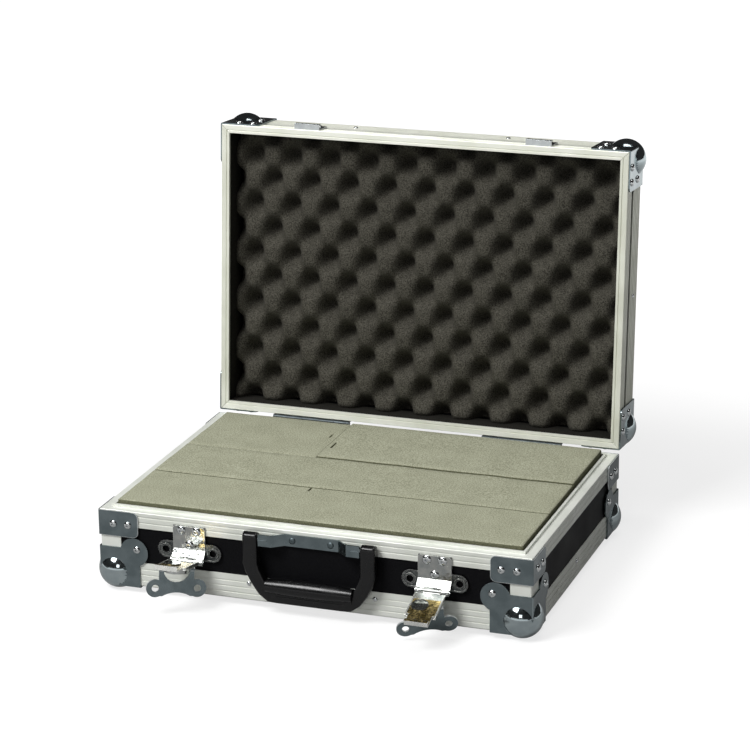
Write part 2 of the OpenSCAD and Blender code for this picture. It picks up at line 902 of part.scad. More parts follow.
module handle_bail() {
  pin_hole = 9;
  color(black_plastic) translate([handle_x, front - handle_out, handle_z]) difference() {
    union() {
      intersection() {
        rotate([90, 0, 0]) linear_extrude(arm_t, center = true) bail_outline();
        union() {
          rotate([0, 90, 0]) cylinder(h = handle_w, r = arm_tip_r, center = true);
          translate([-handle_w, -arm_t / 2, -handle_drop]) cube([2 * handle_w, arm_t, handle_drop]);
        }
      }
      grip_barrel();
    }
    for (s = [0, 1]) {
      mirror([s, 0, 0]) translate([arm_inner - 1, 0, 0]) rotate([0, 90, 0])
        cylinder(h = pin_hole + 1, r = handle_pin_r + pin_gap);
    }
  }
}

// Strap: flat on the case in the middle, its ends bowed out to carry the pins
module handle_strap() {
  end = arm_inner - 1;
  flat = 28;
  bow = 16;
  out = handle_out + 3.6;
  color(zinc) translate([handle_x, front, handle_z]) difference() {
    union() {
      translate([0, 0, -strap_h / 2]) linear_extrude(strap_h) union() {
        translate([-flat, -strap_t]) square([2 * flat, strap_t]);
        for (s = [0, 1]) {
          mirror([s, 0]) polygon([
            [flat - hair, -strap_t], [flat - hair, 0], [flat + bow - 4, -out + strap_t],
            [end, -out + strap_t], [end, -out], [flat + bow - 5, -out]
          ]);
        }
      }
      for (s = [0, 1]) {
        mirror([s, 0, 0]) translate([end - 9, -handle_out, 0]) rotate([0, 90, 0])
          cylinder(h = 9, r = 4);
      }
    }
    for (s = [0, 1]) {
      mirror([s, 0, 0]) translate([end - 10, -handle_out, 0]) rotate([0, 90, 0])
        cylinder(h = 20, r = handle_pin_r);
    }
  }
}

module handle_pins() {
  color(steel) for (s = [0, 1]) {
    translate([handle_x, 0, 0]) mirror([s, 0, 0])
      translate([arm_inner - 10, front - handle_out, handle_z]) rotate([0, 90, 0])
      cylinder(h = 18.5, r = handle_pin_r);
  }
}

module handle_rivets() {
  color(steel) for (x = [-20, 20]) {
    translate([handle_x + x, front - strap_t, handle_z]) rotate([90, 0, 0]) rivet_head(7, 1.6);
  }
}

// Latches; the plate and the body stand on the front of the base

plate_top = 34;
plate_low = 12;

module at_latch(i) {
  translate([(i == 0 ? -1 : 1) * latch_mid, front, latch_z]) children();
}

module stadium(w, r) {
  square([w - 2 * r, 2 * r], center = true);
  for (s = [-1, 1]) {
    translate([s * (w / 2 - r), 0]) circle(r);
  }
}

// Base plate: a backing under the body, with an ear and an eyelet on each side
module latch_base_plate(i) {
  ear_z = 8;
  ear_r = 9;
  color(nickel) at_latch(i) rotate([90, 0, 0]) difference() {
    union() {
      linear_extrude(latch_t) union() {
        translate([-latch_w / 2, 0]) square([latch_w, plate_top]);
        translate([0, ear_z]) stadium(ears_w, ear_r);
      }
      linear_extrude(latch_t + 1) difference() {
        translate([0, ear_z]) stadium(ears_w, ear_r);
        translate([0, ear_z]) stadium(ears_w - 2.6, ear_r - 1.3);
        square([latch_w + 2 * fit_gap, 60], center = true);
      }
      for (s = [-1, 1]) {
        translate([s * ear_holes / 2, ear_z, 0]) cylinder(h = latch_t + 1.4, r = 5.4);
      }
    }
    for (s = [-1, 1]) {
      translate([s * ear_holes / 2, ear_z, -1]) cylinder(h = 9, r = 3.8);
    }
  }
}

// Body: a riveted plate whose lower end ramps out to the two outer knuckles
module latch_body(i) {
  color(nickel) at_latch(i) difference() {
    union() {
      translate([-latch_w / 2, 0, 0]) rotate([90, 0, 90]) linear_extrude(latch_w) polygon([
        [-latch_t - 0.01, plate_top], [-2 * latch_t, plate_top], [-2 * latch_t, plate_low - 2],
        [-latch_out + 1.2, 2.4], [-latch_out + 2.4, 0.6], [-latch_t - 0.01, plate_low - 4]
      ]);
      translate([-latch_w / 2, -latch_out, 0]) rotate([0, 90, 0])
        cylinder(h = latch_w, r = latch_knuckle_r);
    }
    translate([-knuckle_half - 0.2, -latch_out, 0]) rotate([0, 90, 0])
      cylinder(h = 2 * knuckle_half + 0.4, r = latch_knuckle_r + 0.5);
    translate([-latch_w, -latch_out, 0]) rotate([0, 90, 0])
      cylinder(h = 2 * latch_w, r = latch_pin_r);
    for (s = [0, 1]) {
      mirror([s, 0, 0]) translate([latch_w / 2 - 3, 1, plate_top - 3]) rotate([90, 0, 0])
        linear_extrude(20) corner_waste(3);
    }
  }
}

module latch_pin(i) {
  color(steel) at_latch(i) translate([-latch_w / 2 - 0.8, -latch_out, 0]) rotate([0, 90, 0])
    cylinder(h = latch_w + 1.6, r = latch_pin_r);
}

module latch_rivets(i) {
  color(steel) at_latch(i) {
    for (x = [-8, 8]) {
      translate([x, -2 * latch_t, 29.6]) rivet_on_front();
    }
    translate([0, -2 * latch_t, 14.6]) rivet_on_front();
  }
}

// Flap: a tray with two side flanges, drawn shut, with its hinge axis at the origin
module latch_flap(i) {
  w = flap_w;
  color(nickel) at_flap(i) difference() {
    union() {
      translate([-w / 2, -latch_t / 2, 4.2]) cube([w, latch_t, flap_len - 4.2]);
      translate([-knuckle_half, -latch_t / 2, 0]) cube([2 * knuckle_half, latch_t, 5]);
      translate([-knuckle_half, 0, 0]) rotate([0, 90, 0])
        cylinder(h = 2 * knuckle_half, r = latch_knuckle_r);
      for (s = [0, 1]) {
        mirror([s, 0, 0]) translate([w / 2 - latch_t, 0, 0]) rotate([90, 0, 90])
          linear_extrude(latch_t) polygon([
            [-latch_t / 2, 4.2], [-latch_t / 2, flap_len], [flange_h - 1, flap_len],
            [flange_h, flap_len - 2], [flange_h, 7.5], [0, 4.2]
          ]);
      }
    }
    translate([-latch_w, 0, 0]) rotate([0, 90, 0])
      cylinder(h = 2 * latch_w, r = latch_pin_r + pin_gap);
    translate([0, -5, cam_z]) rotate([-90, 0, 0]) cylinder(h = 10, r = 4 + pin_gap);
  }
}

// Claw: a plate that slides in the flap, with a window for the cam and a hooked end
module latch_claw(i) {
  shift = claw_stroke * cam_turn[i] / cam_travel;
  slide_w = flap_w - 2 * latch_t - 0.6;
  low = 13;
  slot_z = cam_z - claw_stroke / 2;
  slot_x = [-cam_throw, -cam_throw * cos(cam_travel / 2)];
  drop = claw_len - claw_t - hook_drop;
  color(passivated) at_flap(i) translate([0, 0, shift]) union() {
    translate([0, claw_y[1], 0]) rotate([90, 0, 0]) linear_extrude(claw_t) difference() {
      union() {
        translate([-slide_w / 2, low]) square([slide_w, flap_len - 4 - low]);
        translate([-claw_w / 2, flap_len - 5]) square([claw_w, claw_len - 2 - flap_len + 5]);
      }
      for (x = slot_x) {
        translate([x, slot_z]) circle(cam_disc_r + cam_gap);
      }
      translate([slot_x[0], slot_z - cam_disc_r - cam_gap])
        square([slot_x[1] - slot_x[0], 2 * (cam_disc_r + cam_gap)]);
    }
    translate([-claw_w / 2, 0, 0]) rotate([90, 0, 90]) linear_extrude(claw_w) polygon([
      [claw_y[0], claw_len - 3], [claw_y[0], claw_len], [hook_y, claw_len], [hook_y, drop],
      [hook_y - hook_t, drop], [hook_y - hook_t, claw_len - claw_t],
      [claw_y[1], claw_len - claw_t], [claw_y[1], claw_len - 3]
    ]);
  }
}

// Cam: the round boss outside the flap, the spindle through it and the eccentric disc inside,
// with a head that holds the claw down
module latch_cam(i) {
  out = -latch_t / 2 - 0.1;
  head_y = claw_y[1] + 0.15;
  disc_y = claw_y[0] - disc_gap;
  color(nickel) at_cam(i) difference() {
    union() {
      translate([0, out, 0]) rotate([90, 0, 0]) cylinder(h = boss_h, r = boss_r);
      translate([0, out - hair, 0]) rotate([-90, 0, 0])
        cylinder(h = disc_y - out + 2 * hair, r = 4);
      rotate([0, -cam_travel / 2, 0]) translate([-cam_throw, disc_y, 0]) rotate([-90, 0, 0]) {
        cylinder(h = head_y - disc_y + hair, r = cam_disc_r);
        translate([0, 0, head_y - disc_y]) cylinder(h = cam_head_t, r = cam_disc_r + 2.5);
      }
    }
    translate([-boss_r - 1, -wing_pin_y, 0]) rotate([0, 90, 0])
      cylinder(h = 2 * boss_r + 2, r = wing_pin_r);
  }
}

// Outline of the wing, x across and y outwards from its hinge axis: two lobes with a hole,
// a hollow edge between them and a round cut that clears the boss
module wing_outline() {
  lobe_y = boss_y + wing_reach - wing_pin_y;
  notch = boss_r + wing_gap;
  hollow_r = 28;
  difference() {
    union() {
      for (s = [-1, 1]) {
        translate([s * wing_holes / 2, lobe_y]) circle(wing_lobe);
      }
      translate([-notch - wing_ear, 0]) square([2 * notch + 2 * wing_ear, lobe_y + wing_lobe - 1]);
    }
    circle(notch);
    translate([0, lobe_y + 4.3 + hollow_r]) circle(hollow_r);
    for (s = [-1, 1]) {
      translate([s * wing_holes / 2, lobe_y]) circle(wing_hole_r);
    }
  }
}

// Wing: a dog-bone plate that stands square to the flap and folds down round the boss
module latch_wing(i) {
  ear_x = boss_r + wing_gap;
  color(zinc) at_cam(i) translate([0, -wing_pin_y, 0]) difference() {
    union() {
      mirror([0, 1, 0]) translate([0, 0, -wing_t / 2]) linear_extrude(wing_t) wing_outline();
      for (s = [0, 1]) {
        mirror([s, 0, 0]) translate([ear_x, 0, 0]) rotate([0, 90, 0])
          cylinder(h = wing_ear, r = wing_hub_r);
      }
    }
    translate([-2 * boss_r, 0, 0]) rotate([0, 90, 0])
      cylinder(h = 4 * boss_r, r = wing_pin_r + pin_gap);
  }
}

module latch_wing_pins(i) {
  inner = boss_r - 5;
  color(steel) at_cam(i) for (s = [0, 1]) {
    mirror([s, 0, 0]) translate([inner, -wing_pin_y, 0]) rotate([0, 90, 0])
      cylinder(h = 5 + wing_gap + wing_ear, r = wing_pin_r);
  }
}

base_bottom_panel();
base_front_panel();
base_back_panel();
base_side_panels();
base_rim_profile();
base_bottom_edging();
base_corner_edging();
base_ball_corners();
base_rim_braces();
base_ball_corner_rivets();
base_brace_rivets();
base_edging_rivets();
foam_floor_pad();
foam_front_block();
foam_middle_block();
foam_back_left_block();
foam_back_right_block();
lid_top_panel();
lid_front_panel();
lid_back_panel();
lid_side_panels();
lid_rim_profile();
lid_top_edging();
lid_ball_corners();
lid_corner_rivets();
lid_edging_rivets();
lid_eggcrate_foam();
lid_lining_strips();
keeper_left();
keeper_right();
keeper_rivets();
hinge_base_leaves();
hinge_lid_leaves();
hinge_pins();
hinge_base_rivets();
hinge_lid_rivets();
handle_bail();
handle_strap();
handle_pins();
handle_rivets();
latch_base_plate(0);  // latch_left_base_plate
latch_body(0);  // latch_left_body
latch_pin(0);  // latch_left_pin
latch_flap(0);  // latch_left_flap
latch_claw(0);  // latch_left_claw
latch_cam(0);  // latch_left_cam
latch_wing(0);  // latch_left_wing
latch_wing_pins(0);  // latch_left_wing_pins
latch_rivets(0);  // latch_left_rivets
latch_base_plate(1);  // latch_right_base_plate
latch_body(1);  // latch_right_body
latch_pin(1);  // latch_right_pin
latch_flap(1);  // latch_right_flap
latch_claw(1);  // latch_right_claw
latch_cam(1);  // latch_right_cam
latch_wing(1);  // latch_right_wing
latch_wing_pins(1);  // latch_right_wing_pins
latch_rivets(1);  // latch_right_rivets
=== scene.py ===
"""Looks of a small flight case for microphones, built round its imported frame.

Black laminate panels are held by rolled aluminium edging, with stamped steel corner fittings,
two butterfly latches, a moulded handle, loose grey foam in the base and egg-crate foam in the
lid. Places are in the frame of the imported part. Lengths are in metres, or in millimetres
where a name ends in _mm or a comment says so.
"""

from __future__ import annotations

import json
import logging
import math
from collections.abc import Sequence
from dataclasses import dataclass

import bmesh
import bpy
from bmesh.types import BMEdge, BMesh, BMFace, BMVert
from bpy.types import Material, Node, NodeSocket, NodeTree, Object, World
from mathutils import Matrix, Vector, noise

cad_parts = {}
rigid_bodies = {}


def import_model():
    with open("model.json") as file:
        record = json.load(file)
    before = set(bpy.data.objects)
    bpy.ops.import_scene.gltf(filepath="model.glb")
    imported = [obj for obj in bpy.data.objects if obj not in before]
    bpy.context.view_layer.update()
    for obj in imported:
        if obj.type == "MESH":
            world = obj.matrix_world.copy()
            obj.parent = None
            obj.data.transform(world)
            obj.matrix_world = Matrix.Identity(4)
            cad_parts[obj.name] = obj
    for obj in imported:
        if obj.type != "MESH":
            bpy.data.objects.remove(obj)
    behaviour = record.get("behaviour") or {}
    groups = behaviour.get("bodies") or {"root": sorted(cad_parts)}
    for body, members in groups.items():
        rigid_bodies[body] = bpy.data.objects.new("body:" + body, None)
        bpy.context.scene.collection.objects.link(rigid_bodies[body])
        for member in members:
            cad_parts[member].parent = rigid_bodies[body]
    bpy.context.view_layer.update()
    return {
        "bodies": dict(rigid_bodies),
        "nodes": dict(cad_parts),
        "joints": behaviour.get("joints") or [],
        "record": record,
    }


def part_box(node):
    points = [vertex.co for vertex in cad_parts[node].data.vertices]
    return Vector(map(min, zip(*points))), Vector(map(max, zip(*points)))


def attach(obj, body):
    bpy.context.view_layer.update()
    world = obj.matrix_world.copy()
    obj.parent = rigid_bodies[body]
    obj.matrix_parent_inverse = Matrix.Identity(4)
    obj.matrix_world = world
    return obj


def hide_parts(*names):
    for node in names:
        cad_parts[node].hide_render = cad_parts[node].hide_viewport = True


LOG = logging.getLogger("microphone_case")
MM = 0.001
Pair = tuple[float, float]
Triple = tuple[float, float, float]
# The middle of a noise, where nearly all of its values lie.
NOISE_MIDDLE = (0.3, 0.7)
# The octaves of a noise, from plain spots to fine grain.
PLAIN = 1.0
SOFT = 2.0
ROUGH = 3.0
FINE = 4.0
# Edges sharper than these angles, in degrees, stay hard.
HARD_METAL = 42.0
HARD_TURNED = 50.0
HARD_FOAM = 60.0
HARD_CRATE = 75.0
# Edges of stampings sharper than this angle, in degrees, are rounded in this many steps.
ROUNDED_FROM = 32.0
ROUNDING_STEPS = 2
# Points of a mesh, and of a turned one, nearer than this, in millimetres, are one point.
WELD_MM = 0.004
TURNED_WELD_MM = 0.005
# Faces that meet at less than this angle, in degrees, are one flat face.
FLAT_ANGLE = 0.6
# How strongly shading favours wide faces over their rounded edges, of 100.
FLAT_WEIGHT = 80
# A face turned less than this share towards a sheet's main face is on the sheet's edge.
SHEET_FACING = 0.9
# A side of a rolled frame that is longer than this along X, in metres, runs across.
ACROSS_FROM = 0.2
# Every step of a rounding is part of a circle.
CIRCULAR = 0.5


def linear(value: str) -> tuple[float, float, float, float]:
    """Turns an sRGB hex colour into linear RGBA.

    Args:
        value: The colour as "#rrggbb".

    Returns:
        Red, green, blue and an alpha of one.
    """
    parts = [int(value[i : i + 2], 16) / 255 for i in (1, 3, 5)]
    red, green, blue = (c / 12.92 if c <= 0.04045 else ((c + 0.055) / 1.055) ** 2.4 for c in parts)
    return (red, green, blue, 1.0)


def add_node(
    tree: NodeTree,
    kind: str,
    settings: dict[str, object] | None = None,
    inputs: dict[str | int, object] | None = None,
) -> Node:
    """Adds a node with its settings, socket values and links.

    Args:
        tree: The node tree.
        kind: The node's type name.
        settings: Properties to set on the node.
        inputs: Socket values; a socket as the value is linked.

    Returns:
        The new node.
    """
    node = tree.nodes.new(kind)
    for key, value in (settings or {}).items():
        setattr(node, key, value)
    for key, value in (inputs or {}).items():
        if isinstance(value, NodeSocket):
            tree.links.new(value, node.inputs[key])
        else:
            node.inputs[key].default_value = value
    return node


def stretch(value: NodeSocket, source: Pair, target: Pair) -> dict[str | int, object]:
    """Gives the inputs that map one range of values to another.

    Args:
        value: What is mapped.
        source: The range that it comes from.
        target: The range that it is mapped to.

    Returns:
        The inputs of a Map Range node.
    """
    return {
        "Value": value,
        "From Min": source[0],
        "From Max": source[1],
        "To Min": target[0],
        "To Max": target[1],
    }


def any_ray(tree: NodeTree, *kinds: str) -> NodeSocket:
    """Tells whether a ray is of one of some kinds.

    Args:
        tree: The node tree.
        *kinds: Outputs of the Light Path node.

    Returns:
        One for such a ray and zero for any other.
    """
    path = add_node(tree, "ShaderNodeLightPath")
    found = path.outputs[kinds[0]]
    for kind in kinds[1:]:
        found = add_node(
            tree,
            "ShaderNodeMath",
            settings={"operation": "MAXIMUM"},
            inputs={0: found, 1: path.outputs[kind]},
        ).outputs[0]
    return found


def emptied(owner: Material | World) -> NodeTree:
    """Turns on the nodes of a material or world and clears them.

    Args:
        owner: The material or world.

    Returns:
        Its empty node tree.
    """
    owner.use_nodes = True
    owner.node_tree.nodes.clear()
    return owner.node_tree


@dataclass(frozen=True)
class Surface:
    """A material in the making: its nodes, its shader and where a point of it lies."""

    tree: NodeTree
    shader: Node
    coords: NodeSocket

    def blotches(
        self,
        size_mm: float | Triple,
        detail: float = SOFT,
        turn: float = 0.0,
    ) -> NodeSocket:
        """Makes soft noise of a real size.

        Args:
            size_mm: The size of a patch, in millimetres, one for all axes or one for each.
            detail: The noise's octaves.
            turn: How far the pattern is turned about X, in radians.

        Returns:
            The noise, between 0 and 1.
        """
        sizes = size_mm if isinstance(size_mm, tuple) else (size_mm, size_mm, size_mm)
        placed = add_node(
            self.tree,
            "ShaderNodeMapping",
            settings={"vector_type": "TEXTURE"},
            inputs={
                "Vector": self.coords,
                "Rotation": (turn, 0.0, 0.0),
                "Scale": tuple(s * MM for s in sizes),
            },
        )
        return add_node(
            self.tree,
            "ShaderNodeTexNoise",
            inputs={"Vector": placed.outputs[0], "Scale": 1.0, "Detail": detail},
        ).outputs["Fac"]

    def tones(
        self,
        pattern: NodeSocket,
        first: str,
        second: str,
        source: Pair = NOISE_MIDDLE,
    ) -> None:
        """Lets the colour follow a pattern.

        Args:
            pattern: The pattern.
            first: The colour where it is low.
            second: The colour where it is high.
            source: The range of the pattern between the two colours.
        """
        factor = add_node(
            self.tree, "ShaderNodeMapRange", inputs=stretch(pattern, source, (0.0, 1.0))
        )
        mix = add_node(
            self.tree,
            "ShaderNodeMix",
            settings={"data_type": "RGBA"},
            inputs={0: factor.outputs[0], 6: linear(first), 7: linear(second)},
        )
        self.tree.links.new(mix.outputs[2], self.shader.inputs["Base Color"])

    def roughen(self, pattern: NodeSocket, smoothest: float, roughest: float) -> None:
        """Lets the roughness follow a pattern.

        Args:
            pattern: The pattern.
            smoothest: The roughness where it is low.
            roughest: The roughness where it is high.
        """
        rough = add_node(
            self.tree,
            "ShaderNodeMapRange",
            inputs=stretch(pattern, NOISE_MIDDLE, (smoothest, roughest)),
        )
        self.tree.links.new(rough.outputs[0], self.shader.inputs["Roughness"])

    def press(self, pattern: NodeSocket, depth_mm: float, strength: float) -> None:
        """Presses a pattern into the surface.

        Args:
            pattern: The relief, between 0 and 1.
            depth_mm: Its depth in millimetres.
            strength: How strongly it shows.
        """
        relief = add_node(
            self.tree,
            "ShaderNodeBump",
            inputs={"Height": pattern, "Distance": depth_mm * MM, "Strength": strength},
        )
        self.tree.links.new(relief.outputs[0], self.shader.inputs["Normal"])


@dataclass(frozen=True)
class Finish:
    """One finish, made into a material the first time it is asked for."""

    name: str
    slot: str
    colour: str
    roughness: float
    metallic: float = 0.0
    gloss: float = 0.5

    def material(self) -> Material:
        """Gives the material, which is built once.

        Returns:
            The material.
        """
        found = bpy.data.materials.get(self.name)
        if found is not None:
            return found
        made = bpy.data.materials.new(self.name)
        tree = emptied(made)
        shader = add_node(
            tree,
            "ShaderNodeBsdfPrincipled",
            inputs={
                "Base Color": linear(self.colour),
                "Roughness": self.roughness,
                "Metallic": self.metallic,
                "Specular IOR Level": self.gloss,
            },
        )
        add_node(tree, "ShaderNodeOutputMaterial", inputs={"Surface": shader.outputs[0]})
        coords = add_node(tree, "ShaderNodeTexCoord").outputs["Object"]
        self.dress(Surface(tree, shader, coords))
        made.diffuse_color = linear(self.colour)
        return made

    def dress(self, surface: Surface) -> None:
        """Adds the surface detail; a finish of its own kind overrides it.

        Args:
            surface: The material in the making.
        """


# The size of a roll line along each axis of its shell, in millimetres, by the way it runs.
RUN_ACROSS = (90.0, 0.5, 0.5)
RUN_DEPTH = (0.5, 90.0, 0.5)
RUN_UPRIGHT = (0.5, 0.5, 90.0)


@dataclass(frozen=True)
class RolledAluminium(Finish):
    """Mill-finish aluminium from the rolls: pale, slightly green, with fine lines along it."""

    slot: str = "aluminium"
    colour: str = "#f1f3ec"
    roughness: float = 0.36
    metallic: float = 0.22
    gloss: float = 0.2
    line_mm: Triple = RUN_ACROSS
    lean: float = 0.0
    shade: str = "#e2e5dc"
    cloud_mm: float = 35.0
    smoother: float = 0.07
    rougher: float = 0.1
    depth_mm: float = 0.03
    relief: float = 0.35

    def dress(self, surface: Surface) -> None:
        """Adds the roll lines, which are drawn 0.5 mm apart so that they show."""
        lines = surface.blotches(self.line_mm, ROUGH, self.lean)
        cloud = surface.blotches(self.cloud_mm, SOFT, self.lean)
        surface.tones(cloud, self.colour, self.shade)
        surface.roughen(lines, self.roughness - self.smoother, self.roughness + self.rougher)
        surface.press(lines, self.depth_mm, self.relief)


@dataclass(frozen=True)
class PlatedSteel(Finish):
    """Stamped and plated steel: a tone that drifts over the sheet, with faint press ripples."""

    metallic: float = 1.0
    drift: str = "#6b7678"
    patch_mm: float = 14.0
    patch_range: Pair = (0.35, 0.65)
    mark_mm: float = 2.2
    spread: float = 0.08
    ripple_mm: float = 6.0
    ripple: float = 0.08
    depth_mm: float = 0.4

    def dress(self, surface: Surface) -> None:
        """Adds the drifting tone, handling marks and the ripples left by the press."""
        patches = surface.blotches(self.patch_mm, ROUGH)
        surface.tones(patches, self.colour, self.drift, self.patch_range)
        marks = surface.blotches(self.mark_mm, FINE)
        surface.roughen(marks, self.roughness - self.spread, self.roughness + self.spread)
        waves = surface.blotches(self.ripple_mm)
        surface.press(waves, self.depth_mm, self.ripple)


@dataclass(frozen=True)
class GrainedBlack(Finish):
    """Black laminate or moulded plastic with a fine grain, and shinier where hands rub it."""

    octaves: float = SOFT
    tip: str = "#0c0c0d"
    grain_mm: float = 0.9
    worn_mm: float = 22.0
    smoother: float = 0.08
    rougher: float = 0.07
    depth_mm: float = 0.1
    relief: float = 0.4

    def dress(self, surface: Surface) -> None:
        """Adds the grain, drawn about 1 mm so that it shows, and the rubbed places."""
        grain = surface.blotches(self.grain_mm, self.octaves)
        worn = surface.blotches(self.worn_mm)
        surface.roughen(worn, self.roughness - self.smoother, self.roughness + self.rougher)
        surface.tones(grain, self.colour, self.tip)
        surface.press(grain, self.depth_mm, self.relief)


@dataclass(frozen=True)
class OpenCellFoam(Finish):
    """Polyurethane foam cut from the block: matt open cells, drawn 1.3 mm so that they show."""

    gloss: float = 0.1
    pale: str = "#b6b7a1"
    cell_mm: float = 1.3
    cell_range: Pair = (0.36, 0.64)
    cell_share: float = 0.85
    patch_mm: float = 28.0
    depth_mm: float = 0.5
    relief: float = 0.7

    def dress(self, surface: Surface) -> None:
        """Adds the cells, as relief and as colour, and wide faint patches."""
        cells = surface.blotches(self.cell_mm, FINE)
        patches = surface.blotches(self.patch_mm)
        shares = [
            add_node(
                surface.tree, "ShaderNodeMapRange", inputs=stretch(pattern, source, (0.0, share))
            ).outputs[0]
            for pattern, source, share in (
                (cells, self.cell_range, self.cell_share),
                (patches, NOISE_MIDDLE, 1.0 - self.cell_share),
            )
        ]
        mottled = add_node(
            surface.tree,
            "ShaderNodeMath",
            settings={"operation": "ADD"},
            inputs=dict(enumerate(shares)),
        ).outputs[0]
        surface.tones(mottled, self.colour, self.pale, (0.0, 1.0))
        surface.press(cells, self.depth_mm, self.relief)


# The line that the lid turns on, and how far it is turned back from shut.
LID_HINGE = (0.0, 0.1602, 0.0786)
LID_LEAN = math.radians(-94.5)

# Rolled aluminium from the mill has a soft sheen along its lines, pale and faintly green.
ALU_ACROSS = RolledAluminium("Rolled aluminium, across")
ALU_DEPTH = RolledAluminium("Rolled aluminium, front to back", line_mm=RUN_DEPTH)
ALU_UPRIGHT = RolledAluminium("Rolled aluminium, upright", line_mm=RUN_UPRIGHT)
# The lid's lines lean back with it, and its metal is a little yellower; its sides are painted
# darker than its cross bars and the base's metal, as painted shade.
ALU_LID_SIDES_PAINTED_SHADE = RolledAluminium(
    "Rolled aluminium, lid sides with painted shade",
    colour="#e9ebde",
    metallic=0.25,
    line_mm=RUN_DEPTH,
    lean=LID_LEAN,
    shade="#dadccd",
)
ALU_LID_ACROSS = RolledAluminium(
    "Rolled aluminium, lid across", colour="#f3f4ea", metallic=0.25, shade="#e6e8da"
)
# Stamped corners are zinc plated and dark passivated: blue-grey and nearly a mirror.
ZINC_STEEL = PlatedSteel("Dark zinc plated steel", "zinc_steel", "#7f8a8d", 0.17, drift="#6f7a7d")
# Edges of the zinc plated sheet, where the press sheared or rounded it, scatter the light and are
# painted paler: a painted highlight.
ZINC_EDGE_PAINTED_HIGHLIGHT = PlatedSteel(
    "Zinc plated edge with painted highlight", "zinc_steel", "#eef1f1", 0.38, 0.7, drift="#d5dada"
)
# The rolled edges of nickel plated stampings are painted pale, as thin painted highlights.
NICKEL_EDGE_PAINTED_HIGHLIGHT = PlatedSteel(
    "Nickel plated edge with painted highlight",
    "nickel",
    "#f4f4f0",
    0.3,
    0.75,
    drift="#dedfda",
    ripple=0.05,
)
# A ball corner is drawn over a polished die, so it mirrors the lamps as sharp spots; it is painted
# paler than the plate around it, which brightens all it mirrors: painted reflection.
BALL_STEEL = PlatedSteel(
    "Zinc plated steel, drawn into a ball",
    "zinc_steel",
    "#b4bfc1",
    0.1,
    drift="#a3aeb1",
    ripple=0.03,
    spread=0.04,
)
# Hinge leaves have dark zinc, painted nearly black as painted shade, so the gap under the lid reads
# as a thin black line.
HINGE_STEEL_PAINTED_SHADE = PlatedSteel(
    "Dark zinc hinge steel with painted shade", "zinc_steel", "#474c4e", 0.42, drift="#3b4042"
)
# The strap's rivets were plated with it and are dull, so that they hardly show.
DULL_ZINC = PlatedSteel(
    "Dull zinc plated rivet steel", "zinc_steel", "#626c6f", 0.5, drift="#566063"
)
# Tumbled rivet heads are bright, with a small sharp glint on each.
RIVET_STEEL = PlatedSteel(
    "Bright rivet steel",
    "bright_steel",
    "#d4d6d6",
    0.16,
    drift="#bfc3c4",
    patch_mm=3.0,
    ripple=0.02,
    spread=0.05,
)
# Nickel plated and bent sheet is a warm mirror whose waves break up what it shows.
NICKEL = PlatedSteel(
    "Bright nickel plated steel",
    "nickel",
    "#b9bab6",
    0.14,
    drift="#9fa3a2",
    patch_mm=9.0,
    ripple_mm=5.5,
    ripple=0.8,
    spread=0.05,
)
# The keepers are small, flat and bright, and mirror the dark room above them.
KEEPER_STEEL = PlatedSteel(
    "Bright zinc plated keeper steel",
    "bright_steel",
    "#c4c8c8",
    0.12,
    drift="#b0b5b6",
    ripple=0.03,
    spread=0.04,
)
# The latch's plate is painted dark, as painted shade where its ears are pressed down inside their
# rims.
NICKEL_PAINTED_SHADE = PlatedSteel(
    "Nickel plated steel, darkened as painted shade",
    "nickel",
    "#6c6f6e",
    0.3,
    drift="#4a4d4d",
    patch_mm=5.0,
    ripple=0.03,
)
# The flap's flatter nickel has a broad soft glare, and is painted darker than the body's nickel to
# dim that glare: painted shade.
FLAP_NICKEL = PlatedSteel(
    "Nickel plated steel, pressed flat",
    "nickel",
    "#a5a6a2",
    0.32,
    drift="#7c807f",
    patch_mm=6.0,
    ripple_mm=7.0,
    ripple=0.25,
)
# Yellow passivated zinc has patches of gold and brown that shine.
YELLOW_ZINC = PlatedSteel(
    "Yellow passivated zinc",
    "yellow_zinc",
    "#c2ae78",
    0.28,
    drift="#5e5026",
    patch_mm=6.0,
    ripple_mm=5.0,
    ripple=0.35,
    spread=0.07,
)
# Phenolic laminate is black, and its pebble leaves it almost no gloss.
LAMINATE = GrainedBlack(
    "Black grained laminate",
    "laminate",
    "#0c0c0e",
    0.46,
    gloss=0.05,
    octaves=PLAIN,
    tip="#151517",
    grain_mm=1.2,
    worn_mm=60.0,
    smoother=0.05,
    rougher=0.08,
    depth_mm=0.12,
    relief=0.5,
)
# Moulded polypropylene is black with soft highlights along its edges.
PLASTIC = GrainedBlack("Black moulded plastic", "black_plastic", "#060607", 0.27, gloss=0.4)
# Open-cell foams are matt and speckled. The base blocks' side walls are painted darker, as painted
# shade.
LINING_FOAM = OpenCellFoam(
    "Thin charcoal lining foam", "lid_foam", "#1a1916", 0.95, pale="#2c2b27", relief=0.4
)
BASE_FOAM = OpenCellFoam("Grey polyurethane foam", "base_foam", "#7f806b", 0.95)
FOAM_WALL_PAINTED_SHADE = OpenCellFoam(
    "Grey polyurethane foam, side wall with painted shade", "base_foam", "#525341", 0.95, pale="#75765f"
)
LID_FOAM = OpenCellFoam("Charcoal polyurethane foam", "lid_foam", "#292722", 0.95, pale="#56544c")


